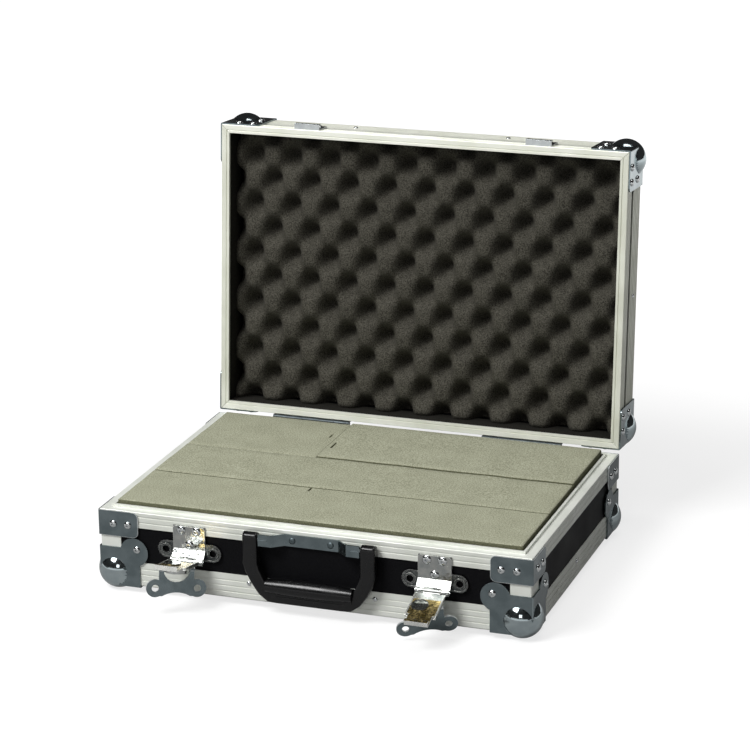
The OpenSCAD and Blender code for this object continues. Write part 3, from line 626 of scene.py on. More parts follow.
@dataclass
class Studio:
    """The camera, lamps, background and floor."""

    eye: Triple = (0.932751, -2.566501, 1.073934)
    right: Triple = (0.942481, 0.334067, -0.011337)
    down: Triple = (0.092637, -0.293638, -0.951417)
    ahead: Triple = (-0.321167, 0.895643, -0.307695)
    lens: float = 136.34
    sensor: float = 36.0
    sight: float = 60.0
    floor_z: float = -0.0085
    floor_half: float = 12.0
    floor_paint: str = "#969696"
    seen_glow: tuple[Pair, Pair] = ((0.45, 1.2), (0.74, 1.0))
    # Metal sees the floor dim near the case: painted shade in reflections.
    mirrored_glow_painted_shade: tuple[Pair, Pair] = ((0.5, 2.2), (0.1, 1.0))
    ambient: float = 0.05
    aim: Triple = (0.0, 0.05, 0.15)
    lamps: tuple[tuple[str, Triple, float, float], ...] = (
        ("key lamp", (-1.0, -1.6, 2.3), 1.2, 82.0),
        ("top lamp", (0.4, 0.1, 2.6), 1.4, 20.0),
        ("front lamp", (0.5, -3.3, 1.3), 0.9, 9.0),
    )
    flag_glow: float = 0.035
    flags: tuple[tuple[str, Triple, Triple], ...] = (
        ("ceiling flag", (0.0, 0.0, 3.6), (4.0, 4.0, 0.02)),
        ("camera flag", (0.0, -4.0, 2.1), (4.0, 0.02, 1.6)),
        ("left flag", (-4.0, 0.0, 1.85), (0.02, 4.0, 1.8)),
        ("right flag", (4.0, 0.0, 1.85), (0.02, 4.0, 1.8)),
        ("back flag", (0.0, 4.0, 2.0), (4.0, 0.02, 1.7)),
    )

    def build(self) -> None:
        """Makes everything that isn't part of the object."""
        self.camera()
        self.world()
        self.floor()
        for name, place, size, power in self.lamps:
            self.lamp(name, Vector(place), size, power)
        for name, place, half in self.flags:
            self.flag(name, Vector(place), Vector(half))

    def camera(self) -> None:
        """Stands the camera where the photograph was taken from."""
        data = bpy.data.cameras.new("camera")
        data.lens = self.lens
        data.sensor_width = self.sensor
        data.clip_end = self.sight
        camera = bpy.data.objects.new("camera", data)
        axes = Matrix((self.right, -Vector(self.down), -Vector(self.ahead))).transposed()
        camera.matrix_world = Matrix.Translation(self.eye) @ axes.to_4x4()
        bpy.context.scene.collection.objects.link(camera)
        bpy.context.scene.camera = camera

    def world(self) -> None:
        """Gives a white background to the eye and to metal, and dimmer light to the rest."""
        world = bpy.data.worlds.new("studio")
        tree = emptied(world)
        seen = any_ray(tree, "Is Camera Ray", "Is Glossy Ray", "Is Transmission Ray")
        strength = add_node(
            tree, "ShaderNodeMapRange", inputs=stretch(seen, (0.0, 1.0), (self.ambient, 1.0))
        )
        light = add_node(
            tree,
            "ShaderNodeBackground",
            inputs={"Color": (1, 1, 1, 1), "Strength": strength.outputs[0]},
        )
        add_node(tree, "ShaderNodeOutputWorld", inputs={"Surface": light.outputs[0]})
        bpy.context.scene.world = world
        bpy.context.scene.view_settings.view_transform = "Standard"

    def floor(self) -> None:
        """Lays a wide pale floor that keeps the object's shadow."""
        shape = bmesh.new()
        bmesh.ops.create_grid(shape, x_segments=1, y_segments=1, size=self.floor_half)
        bmesh.ops.translate(shape, verts=shape.verts, vec=(0, 0, self.floor_z))
        floor = new_object("floor", shape)
        made = bpy.data.materials.new("Pale floor paint")
        tree = emptied(made)
        coords = add_node(tree, "ShaderNodeTexCoord").outputs["Object"]
        reach = add_node(
            tree, "ShaderNodeVectorMath", settings={"operation": "LENGTH"}, inputs={0: coords}
        ).outputs["Value"]
        # Metal sees the floor dim near the case: painted shade around it in reflections.
        seen, mirrored = (
            add_node(tree, "ShaderNodeMapRange", inputs=stretch(reach, near_far, levels))
            for near_far, levels in (self.seen_glow, self.mirrored_glow_painted_shade)
        )
        strength = add_node(
            tree,
            "ShaderNodeMix",
            inputs={
                0: any_ray(tree, "Is Glossy Ray"),
                2: seen.outputs[0],
                3: mirrored.outputs[0],
            },
        )
        paint = add_node(tree, "ShaderNodeBsdfDiffuse", inputs={"Color": linear(self.floor_paint)})
        glow = add_node(tree, "ShaderNodeEmission", inputs={"Strength": strength.outputs[0]})
        both = add_node(
            tree, "ShaderNodeAddShader", inputs={0: paint.outputs[0], 1: glow.outputs[0]}
        )
        mix = add_node(
            tree,
            "ShaderNodeMixShader",
            inputs={
                0: any_ray(tree, "Is Camera Ray", "Is Glossy Ray"),
                1: paint.outputs[0],
                2: both.outputs[0],
            },
        )
        add_node(tree, "ShaderNodeOutputMaterial", inputs={"Surface": mix.outputs[0]})
        floor.data.materials.append(made)

    def flag(self, name: str, place: Vector, half: Vector) -> None:
        """Hangs a dark cloth out of view, which only bright metal sees.

        Args:
            name: The flag's name.
            place: Its middle.
            half: Half its size along each axis.
        """
        shape = bmesh.new()
        bmesh.ops.create_cube(shape, size=2.0)
        bmesh.ops.scale(shape, vec=half, verts=shape.verts)
        bmesh.ops.translate(shape, vec=place, verts=shape.verts)
        flag = new_object(name, shape)
        made = bpy.data.materials.get("Dark flag cloth")
        if made is None:
            made = bpy.data.materials.new("Dark flag cloth")
            tree = emptied(made)
            cloth = add_node(tree, "ShaderNodeEmission", inputs={"Strength": self.flag_glow})
            add_node(tree, "ShaderNodeOutputMaterial", inputs={"Surface": cloth.outputs[0]})
        flag.data.materials.append(made)
        for ray in ("camera", "diffuse", "shadow", "transmission"):
            setattr(flag, "visible_" + ray, False)

    def lamp(self, name: str, place: Vector, size: float, power: float) -> None:
        """Hangs one soft square lamp that faces the case.

        Args:
            name: The lamp's name.
            place: Where it hangs.
            size: Its side.
            power: Its power in watts.
        """
        data = bpy.data.lights.new(name, "AREA")
        data.size = size
        data.energy = power
        lamp = bpy.data.objects.new(name, data)
        turned = (Vector(self.aim) - place).to_track_quat("-Z", "Y").to_matrix().to_4x4()
        lamp.matrix_world = Matrix.Translation(place) @ turned
        bpy.context.scene.collection.objects.link(lamp)


def new_object(name: str, shape: BMesh) -> Object:
    """Turns a finished bmesh into an object at the origin and frees the bmesh.

    Args:
        name: The object's name.
        shape: The mesh, in place.

    Returns:
        The linked object.
    """
    mesh = bpy.data.meshes.new(name)
    shape.to_mesh(mesh)
    shape.free()
    made = bpy.data.objects.new(name, mesh)
    bpy.context.scene.collection.objects.link(made)
    return made


def shade_by_angle(shape: BMesh, degrees: float) -> None:
    """Smooths all faces and keeps edges sharper than the angle hard.

    Args:
        shape: The mesh.
        degrees: The angle.
    """
    limit = math.radians(degrees)
    for face in shape.faces:
        face.smooth = True
    for edge in shape.edges:
        edge.smooth = not edge.is_manifold or edge.calc_face_angle(0.0) < limit


@dataclass
class Workshop:
    """Makes pieces, lets each ride on its body and hides the nodes that it stands for."""

    frame: dict[str, dict[str, Object]]
    count: int = 0

    def settle(
        self,
        shape: BMesh,
        name: str,
        hard: float,
        body: str,
        finishes: Sequence[Finish],
        nodes: Sequence[str],
        flat: bool = False,
        fill: float | None = None,
    ) -> None:
        """Makes a piece of a finished mesh, dresses it and lets it ride on its body.

        Args:
            shape: The mesh, which is freed.
            name: The piece's name.
            hard: The angle, in degrees, above which its edges stay hard.
            body: The body that it rides on.
            finishes: Its finishes, in the order of its material indices.
            nodes: The nodes of the frame that it stands for.
            flat: Whether its wide faces are kept flat beside rounded edges.
            fill: How tight a foam piece is, or None where it isn't one; not used.
        """
        shade_by_angle(shape, hard)
        piece = new_object(name, shape)
        if flat:
            normals = piece.modifiers.new("flat faces", "WEIGHTED_NORMAL")
            normals.keep_sharp = True
            normals.weight = FLAT_WEIGHT
        for finish in finishes:
            piece.data.materials.append(finish.material())
        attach(piece, body)
        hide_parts(*nodes)
        self.count += 1
        LOG.info("%s: %d faces on %s", piece.name, len(piece.data.polygons), body)

    def dress(self, node: str, finish: Finish) -> None:
        """Gives a node of the frame, whose shape is right, its finish.

        Args:
            node: The node.
            finish: Its finish.
        """
        carried = self.frame["nodes"][node]
        carried.data.materials.clear()
        carried.data.materials.append(finish.material())
        LOG.info("%s keeps its shape in %s", node, finish.name)

    def merged(self, node: str) -> BMesh:
        """Copies a node's mesh, joins its triangles and dissolves its flat faces.

        Args:
            node: The node.

        Returns:
            A closed mesh.
        """
        shape = bmesh.new()
        shape.from_mesh(self.frame["nodes"][node].data)
        bmesh.ops.remove_doubles(shape, verts=shape.verts, dist=WELD_MM * MM)
        bmesh.ops.dissolve_limit(
            shape, angle_limit=math.radians(FLAT_ANGLE), verts=shape.verts, edges=shape.edges
        )
        return shape

    def eased(
        self,
        node: str,
        finish: Finish,
        radius_mm: float,
        body: str,
        edge: Finish | None = None,
        ball: Finish | None = None,
        sheet: bool = False,
    ) -> None:
        """Makes a piece from a node's own shape, with its edges rounded as a press leaves them.

        Args:
            node: The node that it stands for.
            finish: Its finish.
            radius_mm: The radius of its edges.
            body: The body that it rides on.
            edge: The finish of the rounding itself, where it differs.
            ball: The finish of what is domed, where it differs.
            sheet: Whether the faces across the sheet take the edge's finish too.
        """
        shape = self.merged(node)
        finishes = [finish]
        if ball is not None:
            for face in domed(shape):
                face.material_index = len(finishes)
            finishes.append(ball)
        if sheet:
            main = max(shape.faces, key=BMFace.calc_area).normal.copy()
            for face in shape.faces:
                if abs(face.normal.dot(main)) < SHEET_FACING:
                    face.material_index = len(finishes)
        rounded = self.round_edges(shape, radius_mm)
        if edge is not None:
            for face in rounded:
                face.material_index = len(finishes)
            finishes.append(edge)
        self.settle(shape, node + ".eased", HARD_METAL, body, finishes, [node], flat=True)

    def rolled(self, node: str, finishes: Sequence[Finish], radius_mm: float, body: str) -> None:
        """Makes the four sides of a rolled frame, each with its lines along it.

        Args:
            node: The node that it stands for.
            finishes: The finish of the sides that run across, then of the others.
            radius_mm: The radius of its edges.
            body: The body that it rides on.
        """
        shape = self.merged(node)
        for island in islands(shape):
            xs = [v.co.x for v in island]
            kind = 0 if max(xs) - min(xs) > ACROSS_FROM else 1
            for vert in island:
                for face in vert.link_faces:
                    face.material_index = kind
        self.round_edges(shape, radius_mm)
        self.settle(shape, node + ".rolled", HARD_METAL, body, finishes, [node], flat=True)

    @staticmethod
    def round_edges(shape: BMesh, radius_mm: float) -> list[BMFace]:
        """Rounds every edge that isn't slight.

        Args:
            shape: The mesh.
            radius_mm: The radius.

        Returns:
            The faces of the rounding.
        """
        limit = math.radians(ROUNDED_FROM)
        edges = [e for e in shape.edges if e.is_manifold and e.calc_face_angle(0.0) > limit]
        made = bmesh.ops.bevel(
            shape,
            geom=edges,
            offset=radius_mm * MM,
            offset_type="OFFSET",
            segments=ROUNDING_STEPS,
            profile=CIRCULAR,
            affect="EDGES",
            clamp_overlap=True,
            material=-1,
        )
        return made["faces"]


def islands(shape: BMesh) -> list[list[BMVert]]:
    """Finds the separate solids of a mesh.

    Args:
        shape: The mesh.

    Returns:
        The vertices of each solid.
    """
    left = set(shape.verts)
    found = []
    while left:
        seed = left.pop()
        group, edge = [seed], [seed]
        while edge:
            vert = edge.pop()
            for link in vert.link_edges:
                other = link.other_vert(vert)
                if other in left:
                    left.remove(other)
                    group.append(other)
                    edge.append(other)
        found.append(group)
    return found


def turn_profile(
    shape: BMesh,
    points: Sequence[Pair],
    axis: tuple[int, int, int],
    steps: int,
) -> None:
    """Turns a profile about an axis through the origin and joins its seam.

    Args:
        shape: The mesh that it joins, whose finished points are tagged.
        points: The profile's points, along X and Z.
        axis: The axis.
        steps: The steps of the turning.
    """
    verts = [shape.verts.new((x, 0.0, z)) for x, z in points]
    edges = [shape.edges.new(pair) for pair in zip(verts, verts[1:])]
    bmesh.ops.spin(
        shape,
        geom=verts + edges,
        cent=(0, 0, 0),
        axis=axis,
        angle=math.tau,
        steps=steps,
        use_merge=True,
    )
    loose = [v for v in shape.verts if not v.tag]
    bmesh.ops.remove_doubles(shape, verts=loose, dist=TURNED_WELD_MM * MM)


# A domed face meets at least this many others between a slight and a steep angle, in degrees.
DOME_NEIGHBOURS = 3
SLIGHT = 0.7
STEEP = 20.0


def domed(shape: BMesh) -> list[BMFace]:
    """Finds the faces of a mesh that curve both ways.

    Args:
        shape: The mesh.

    Returns:
        The faces that bend gently towards most of their neighbours.
    """
    slight, steep = math.radians(SLIGHT), math.radians(STEEP)
    found = []
    for face in shape.faces:
        angles = [edge.calc_face_angle(0.0) for edge in face.edges]
        if sum(slight < angle < steep for angle in angles) >= DOME_NEIGHBOURS:
            found.append(face)
    return found


@dataclass(frozen=True)
class Seat:
    """Where a rivet sits: its middle on the sheet, the way it faces and its size."""

    centre: Vector
    axis: Vector
    radius: float
    height: float


# A rivet's dimple, as shares of the dimple's radius and of the rivet's height.
DIMPLE = ((0.0, 0.45), (0.7, 0.45), (0.85, 0.62), (1.0, 0.96))
# Its dome from the dimple's lip down, as shares of the rivet's radius and of its height.
DOME = (
    (0.52, 0.93), (0.74, 0.74), (0.91, 0.45), (0.985, 0.2), (1.0, 0.05), (1.0, 0.0), (0.0, 0.0)
)


@dataclass
class Rivets:
    """Domed tubular rivets, each with the dimple that its tool leaves."""

    workshop: Workshop
    dimple: float = 0.27
    lip: float = 0.1
    swell: float = 1.0
    steps: int = 24

    def seats(self, node: str) -> list[Seat]:
        """Reads the seats of a node's rivets from their flat undersides.

        Args:
            node: The node of rivets.

        Returns:
            One seat for each rivet.
        """
        shape = self.workshop.merged(node)
        found = []
        for island in islands(shape):
            faces = {face for vert in island for face in vert.link_faces}
            flat = max(faces, key=BMFace.calc_area)
            axis = -flat.normal
            centre = flat.calc_center_median()
            radius = math.sqrt(flat.calc_area() / math.pi)
            height = max((vert.co - centre).dot(axis) for vert in island)
            found.append(Seat(centre.copy(), axis.copy(), radius, height))
        shape.free()
        return found

    def build(self, node: str, body: str, finish: Finish = RIVET_STEEL) -> None:
        """Turns a rivet on every seat of a node.

        Args:
            node: The node of rivets.
            body: The body that they ride on.
            finish: Their finish.
        """
        shape = bmesh.new()
        for seat in self.seats(node):
            self.turn(shape, seat)
        bmesh.ops.recalc_face_normals(shape, faces=shape.faces)
        self.workshop.settle(shape, node + ".turned", HARD_TURNED, body, [finish], [node])

    def turn(self, shape: BMesh, seat: Seat) -> None:
        """Turns one rivet and sets it on its seat.

        Args:
            shape: The mesh that it joins.
            seat: Its seat.
        """
        r, h, d = seat.radius * self.swell, seat.height, self.dimple
        profile = [(r * d * x, h * z) for x, z in DIMPLE]
        profile.append((r * (d + self.lip), h))
        profile += [(r * x, h * z) for x, z in DOME]
        turn_profile(shape, profile, (0, 0, 1), self.steps)
        turned = seat.axis.to_track_quat("Z", "Y").to_matrix().to_4x4()
        place = Matrix.Translation(seat.centre) @ turned
        fresh = [v for v in shape.verts if not v.tag]
        bmesh.ops.transform(shape, matrix=place, verts=fresh)
        for vert in fresh:
            vert.tag = True


# The knife cuts in each block: the way one runs, its start and end, where it lies, its depth.
FRONT_NICKS = (
    ("y", -0.0548, -0.0362, -0.1925, 0.0030),
    ("y", -0.0640, -0.0338, -0.0375, 0.0028),
    ("x", -0.0870, -0.0730, -0.0345, 0.0090),
    ("x", -0.0850, -0.0730, -0.0366, 0.0070),
)
MIDDLE_NICKS = (("x", -0.2080, -0.2030, 0.0455, 0.0030), ("x", -0.1130, -0.1050, 0.0515, 0.0024))
BACK_LEFT_NICKS = (("x", -0.1640, -0.1580, 0.0575, 0.0028), ("y", 0.0930, 0.1140, -0.0742, 0.0024))
BACK_RIGHT_NICKS = (("y", 0.0610, 0.0815, -0.0595, 0.0024),)
# A knife's plane passes through a point that is nearer than this, in metres.
CUT_NEAR = 1e-6


@dataclass
class FoamBlock:
    """A loose block of foam, cut by hand, so its edges are soft and its faces a little uneven."""

    workshop: Workshop
    node: str
    nicks: tuple[tuple[str, float, float, float, float], ...] = ()
    sunk_mm: float = 0.0
    wall: float = 0.6
    nick_mm: float = 1.1
    edge_mm: float = 1.6
    edge_steps: int = 3
    waver_mm: float = 0.55
    waves: float = 28.0
    ripples: float = 3.1
    ripple_share: float = 0.3
    ripple_shift: Triple = (5.0, 1.0, 8.0)
    top_mm: float = 12.0
    side_mm: float = 1.0
    side_waver: float = 0.6
    top_lean: float = 0.7
    end_lean: float = 0.5
    long_lean: float = 1.1
    cell_mm: float = 9.0
    near: float = 1e-5
    top_near: float = 1e-4

    def build(self) -> None:
        """Cuts the block to its node's space and lays its nicks."""
        low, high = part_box(self.node)
        shape = bmesh.new()
        bmesh.ops.create_cube(shape, size=1.0)
        bmesh.ops.scale(shape, vec=high - low, verts=shape.verts)
        bmesh.ops.translate(shape, vec=(low + high) / 2, verts=shape.verts)
        bmesh.ops.bevel(
            shape,
            geom=list(shape.edges),
            offset=self.edge_mm * MM,
            segments=self.edge_steps,
            profile=CIRCULAR,
            affect="EDGES",
            material=-1,
        )
        self.slice(shape, low, high)
        self.cut_nicks(shape, high.z)
        self.waver(shape, low, high)
        shape.normal_update()
        # Upright faces take the darker foam: painted shade on the side walls.
        for face in shape.faces:
            if abs(face.normal.z) < self.wall:
                face.material_index = 1
        name, finishes = self.node + ".cut", [BASE_FOAM, FOAM_WALL_PAINTED_SHADE]
        self.workshop.settle(shape, name, HARD_FOAM, "base", finishes, [self.node], fill=1.0)

    def slice(self, shape: BMesh, low: Vector, high: Vector) -> None:
        """Slices the block into cells small enough to waver.

        Args:
            shape: The mesh.
            low: Its lowest corner.
            high: Its highest corner.
        """
        for axis in range(3):
            span = high[axis] - low[axis]
            steps = max(2, round(span / (self.cell_mm * MM)))
            for k in range(1, steps):
                self.cut(shape, axis, low[axis] + span * k / steps)
        for way, _, _, at, _ in self.nicks:
            for side in (-self.nick_mm, 0.0, self.nick_mm):
                self.cut(shape, 1 if way == "x" else 0, at + side * MM)
        for way, start, end, _, _ in self.nicks:
            for at in (start, end):
                self.cut(shape, 0 if way == "x" else 1, at)

    @staticmethod
    def cut(shape: BMesh, axis: int, at: float) -> None:
        """Cuts all faces with a plane.

        Args:
            shape: The mesh.
            axis: The axis that the plane is square to.
            at: Where it crosses that axis.
        """
        normal, place = Vector((0, 0, 0)), Vector((0, 0, 0))
        normal[axis] = 1.0
        place[axis] = at
        geom = list(shape.verts) + list(shape.edges) + list(shape.faces)
        bmesh.ops.bisect_plane(shape, geom=geom, dist=CUT_NEAR, plane_co=place, plane_no=normal)

    def cut_nicks(self, shape: BMesh, top: float) -> None:
        """Presses the short knife cuts down into the top.

        Args:
            shape: The mesh.
            top: The height of the top.
        """
        for way, start, end, at, depth in self.nicks:
            along, across = (0, 1) if way == "x" else (1, 0)
            for vert in shape.verts:
                inside = start + self.near < vert.co[along] < end - self.near
                on_line = abs(vert.co[across] - at) < self.near
                if inside and on_line and vert.co.z > top - self.top_near:
                    vert.co.z -= depth

    def waver(self, shape: BMesh, low: Vector, high: Vector) -> None:
        """Lets the faces waver as cut foam does, but stay within the block's space.

        Args:
            shape: The mesh.
            low: Its lowest corner.
            high: Its highest corner.
        """
        reach = self.waver_mm * MM
        sunk = self.sunk_mm * MM
        side = self.side_mm * MM
        sideways = reach * self.side_waver
        shift = Vector(self.ripple_shift)
        wave_share = 1.0 - self.ripple_share
        for vert in shape.verts:
            here = vert.co * self.waves
            push = noise.noise(here) * wave_share
            push += noise.noise(here * self.ripples + shift) * self.ripple_share
            if vert.co.z > high.z - self.top_mm * MM:
                vert.co.z -= sunk + reach * (self.top_lean + push)
            edge_x = min(vert.co.x - low.x, high.x - vert.co.x)
            edge_y = min(vert.co.y - low.y, high.y - vert.co.y)
            if edge_x < side:
                vert.co.x += math.copysign(sideways * (self.end_lean + push), -vert.co.x)
            if edge_y < side:
                middle = (low.y + high.y) / 2
                vert.co.y += math.copysign(sideways * (self.long_lean + push), middle - vert.co.y)


@dataclass
class EggCrate:
    """The convoluted foam in the lid: rows of mounds with deep round pits between them."""

    workshop: Workshop
    hinge: Vector
    pitch: float = 43.55 * MM
    row: float = 27.0 * MM
    pit_x: float = -173.8 * MM
    pit_up: float = 252.7 * MM
    back: float = 157.0 * MM
    peak: float = 36.1 * MM
    pit: float = 9.4 * MM
    narrow: float = 2.2
    floor: float = 7.4 * MM
    top: float = 132.2 * MM
    half_x: float = 217.0 * MM
    half_y: float = 149.0 * MM
    step: float = 1.75 * MM
    uneven: float = 0.6 * MM
    waves: float = 30.0
    border: float = 4.0 * MM
    border_fall: float = 0.9
    skin: float = 2.0 * MM

    def height(self, x: float, y: float) -> float:
        """Gives the foam's height above the outside of the lid.

        Args:
            x: Across the lid.
            y: Front to back, with the lid shut.

        Returns:
            The height.
        """
        up = self.back - y
        wave = math.cos(math.tau * (x - self.pit_x) / self.pitch)
        wave *= math.cos(math.pi * (up - self.pit_up) / self.row)
        level = 1.0 - ((1.0 + wave) / 2.0) ** self.narrow
        rough = self.uneven * noise.noise(Vector((x * self.waves, y * self.waves, 0.0)))
        return self.pit + (self.peak - self.pit) * level + rough - self.uneven

    def build(self) -> None:
        """Raises the mounds on a grid, closes it below and leans it back with the lid."""
        shape = bmesh.new()
        bmesh.ops.create_grid(
            shape,
            x_segments=round(2 * self.half_x / self.step),
            y_segments=round(2 * self.half_y / self.step),
            size=1.0,
        )
        for vert in shape.verts:
            x, y = vert.co.x * self.half_x, vert.co.y * self.half_y
            rise = self.height(x, y)
            edge = min(self.half_x - abs(x), self.half_y - abs(y))
            if edge < self.border:
                rise -= (self.border - edge) * self.border_fall
            vert.co = Vector((x, y, self.top - max(rise, self.floor + self.skin)))
        rim = [edge for edge in shape.edges if edge.is_boundary]
        skirt = bmesh.ops.extrude_edge_only(shape, edges=rim)["geom"]
        low = [item for item in skirt if isinstance(item, BMVert)]
        for vert in low:
            vert.co.z = self.top - self.floor
        bmesh.ops.contextual_create(shape, geom=[e for e in shape.edges if e.is_boundary])
        lean = (
            Matrix.Translation(self.hinge)
            @ Matrix.Rotation(LID_LEAN, 4, "X")
            @ Matrix.Translation(-self.hinge)
        )
        bmesh.ops.transform(shape, matrix=lean, verts=shape.verts)
        bmesh.ops.recalc_face_normals(shape, faces=shape.faces)
        name, node = "lid_eggcrate_foam.moulded", "lid_eggcrate_foam"
        self.workshop.settle(shape, name, HARD_CRATE, "lid", [LID_FOAM], [node], fill=0.9)


# The bail's bend: how far out, how far over the bar's middle, the way inwards and the width.
BEND = (
    (0.0415, 0.0012, (-0.35, 0.94), 0.0106),
    (0.0475, 0.0068, (-0.8, 0.6), 0.0128),
    (0.0535, 0.0165, (-0.9, 0.43), 0.0146),
    (0.0592, 0.0275, (-0.97, 0.22), 0.0153),
)
# The bail's round tip: how far over the pins, and how much narrower than the arm.
TIP = ((0.0042, 0.0004), (0.0056, 0.0004), (0.0065, 0.0016), (0.00685, 0.0016))


@dataclass
class Handle:
    """The moulded handle: a flat bail with a padded barrel grip lying on its bar."""

    workshop: Workshop
    middle: float = 1.4 * MM
    front: float = -157.0 * MM
    out: float = 7.2 * MM
    axis_z: float = 68.0 * MM
    thick: float = 11.0 * MM
    tip: float = 6.9 * MM
    arm: float = 15.4 * MM
    bar: float = 8.7 * MM
    half: float = 69.0 * MM
    drop: float = 63.7 * MM
    grip_r: float = 8.6 * MM
    grip_end_r: float = 6.8 * MM
    grip_half: float = 45.0 * MM
    seat_t: float = 8.0 * MM
    seat_high: float = 0.5
    seat_low: float = 0.75
    straight: float = 34.0 * MM
    arm_heights: tuple[float, ...] = (-0.025, -0.012, 0.002)
    squareness: float = 5.5
    ring_steps: int = 40
    grip_steps: int = 12
    grip_cap: float = 0.4 * MM
    grip_chamfer: float = 1.4 * MM
    grip_set_back: float = 0.6 * MM
    grip_sunk: float = 0.5 * MM

    def build(self) -> None:
        """Sweeps the bail, turns the grip and sets both on the pins."""
        shape = bmesh.new()
        self.bail(shape)
        self.grip(shape)
        place = Matrix.Translation((self.middle, self.front - self.out, self.axis_z))
        bmesh.ops.transform(shape, matrix=place, verts=shape.verts)
        bmesh.ops.recalc_face_normals(shape, faces=shape.faces)
        name, node = "handle_bail.moulded", "handle_bail"
        self.workshop.settle(shape, name, HARD_TURNED, "handle", [PLASTIC], [node])

    def stations(self) -> list[tuple[Vector, Vector, float, float]]:
        """Lists the bail's sections from its middle to one tip.

        Returns:
            For each: its middle, its inward direction, its width and its thickness.
        """
        centre_x = self.half - self.arm / 2
        bar_z = -self.drop + self.bar / 2
        up, side = Vector((0, 0, 1)), Vector((-1, 0, 0))
        rows = [(Vector((x, 0, bar_z)), up, self.bar, self.thick) for x in (0.0, self.straight)]
        rows += [
            (Vector((x, 0, bar_z + z)), Vector((inward[0], 0, inward[1])), width, self.thick)
            for x, z, inward, width in BEND
        ]
        rows += [
            (Vector((centre_x, 0, z)), side, self.arm, self.thick) for z in self.arm_heights
        ]
        for rise, less in TIP:
            chord = 2 * math.sqrt(max(self.tip**2 - rise**2, 0.0))
            centre = Vector((centre_x, 0, rise))
            rows.append((centre, side, self.arm - less, min(self.thick, chord)))
        return rows

    def bail(self, shape: BMesh) -> None:
        """Sweeps a rounded bar from the middle to both tips.

        Args:
            shape: The mesh that it joins.
        """
        rows = self.stations()
        mirrored = [
            (Vector((-c.x, c.y, c.z)), Vector((-d.x, d.y, d.z)), w, t) for c, d, w, t in rows[:0:-1]
        ]
        rings = [self.ring(shape, *row) for row in mirrored + rows]
        for first, second in zip(rings, rings[1:]):
            bmesh.ops.bridge_loops(shape, edges=first + second)
        for end in (rings[0], rings[-1]):
            bmesh.ops.contextual_create(shape, geom=end)

    def ring(
        self, shape: BMesh, centre: Vector, inward: Vector, width: float, thick: float
    ) -> list[BMEdge]:
        """Makes one section of the bail: a rectangle with rounded corners.

        Args:
            shape: The mesh that it joins.
            centre: The section's middle.
            inward: The way to the inside of the bail, across the section.
            width: Its size that way.
            thick: Its size front to back.

        Returns:
            The section's edges.
        """
        made = bmesh.ops.create_circle(shape, segments=self.ring_steps, radius=1.0)["verts"]
        across = inward.normalized()
        squared = 2.0 / self.squareness
        for vert in made:
            turn = math.atan2(vert.co.y, vert.co.x)
            a = math.copysign(abs(math.cos(turn)) ** squared, math.cos(turn))
            b = math.copysign(abs(math.sin(turn)) ** squared, math.sin(turn))
            vert.co = centre + across * (a * width / 2) + Vector((0, b * thick / 2, 0))
        chosen = set(made)
        return [e for v in made for e in v.link_edges if e.verts[0] == v and e.verts[1] in chosen]

    def grip(self, shape: BMesh) -> None:
        """Turns the barrel of the grip and lays it on the bar.

        Args:
            shape: The mesh that it joins.
        """
        barrel = bmesh.new()
        end = self.grip_half + self.grip_cap
        end_r = self.grip_end_r - self.grip_chamfer
        points = [(-end, 0.0), (-end, end_r)]
        for k in range(self.grip_steps + 1):
            t = -1 + 2 * k / self.grip_steps
            swell = self.grip_end_r + (self.grip_r - self.grip_end_r) * (1 - t * t)
            points.append((t * self.grip_half, swell))
        points += [(end, end_r), (end, 0.0)]
        turn_profile(barrel, points, (1, 0, 0), self.ring_steps)
        seat = bmesh.ops.create_cube(barrel, size=1.0)["verts"]
        size = (2 * self.grip_half, self.seat_t, self.grip_r * self.seat_high)
        bmesh.ops.scale(barrel, vec=size, verts=seat)
        bmesh.ops.translate(barrel, vec=(0, 0, -self.grip_r * self.seat_low), verts=seat)
        back = self.out - self.grip_r - self.grip_set_back
        rise = -self.drop + self.bar + self.grip_r - self.grip_sunk
        bmesh.ops.translate(barrel, vec=(0, back, rise), verts=barrel.verts)
        mesh = bpy.data.meshes.new("grip barrel")
        barrel.to_mesh(mesh)
        barrel.free()
        shape.from_mesh(mesh)
        bpy.data.meshes.remove(mesh)


# How far the press and the rolls round an edge, in millimetres.
ROLLED_EDGE = 0.25
STAMPED_EDGE = 0.45


@dataclass
class Shell:
    """The base or the lid: its panels, its aluminium and its corner fittings."""

    workshop: Workshop
    body: str
    frame_nodes: tuple[str, ...]
    fittings: tuple[str, ...]
    rivets: tuple[str, ...]
    across: Finish
    sides: Finish

    def build(self) -> None:
        """Dresses the panels and rounds the metal's edges."""
        for part in ("front_panel", "back_panel", "side_panels"):
            self.workshop.dress(f"{self.body}_{part}", LAMINATE)
        for node in self.frame_nodes:
            self.workshop.rolled(node, [self.across, self.sides], ROLLED_EDGE, self.body)
        # The fittings' edges are painted pale as highlights, and their balls paler than the plate,
        # as painted reflection.
        for node in self.fittings:
            self.workshop.eased(
                node, ZINC_STEEL, STAMPED_EDGE, self.body, edge=ZINC_EDGE_PAINTED_HIGHLIGHT, ball=BALL_STEEL
            )
        for node in self.rivets:
            Rivets(self.workshop).build(node, self.body)


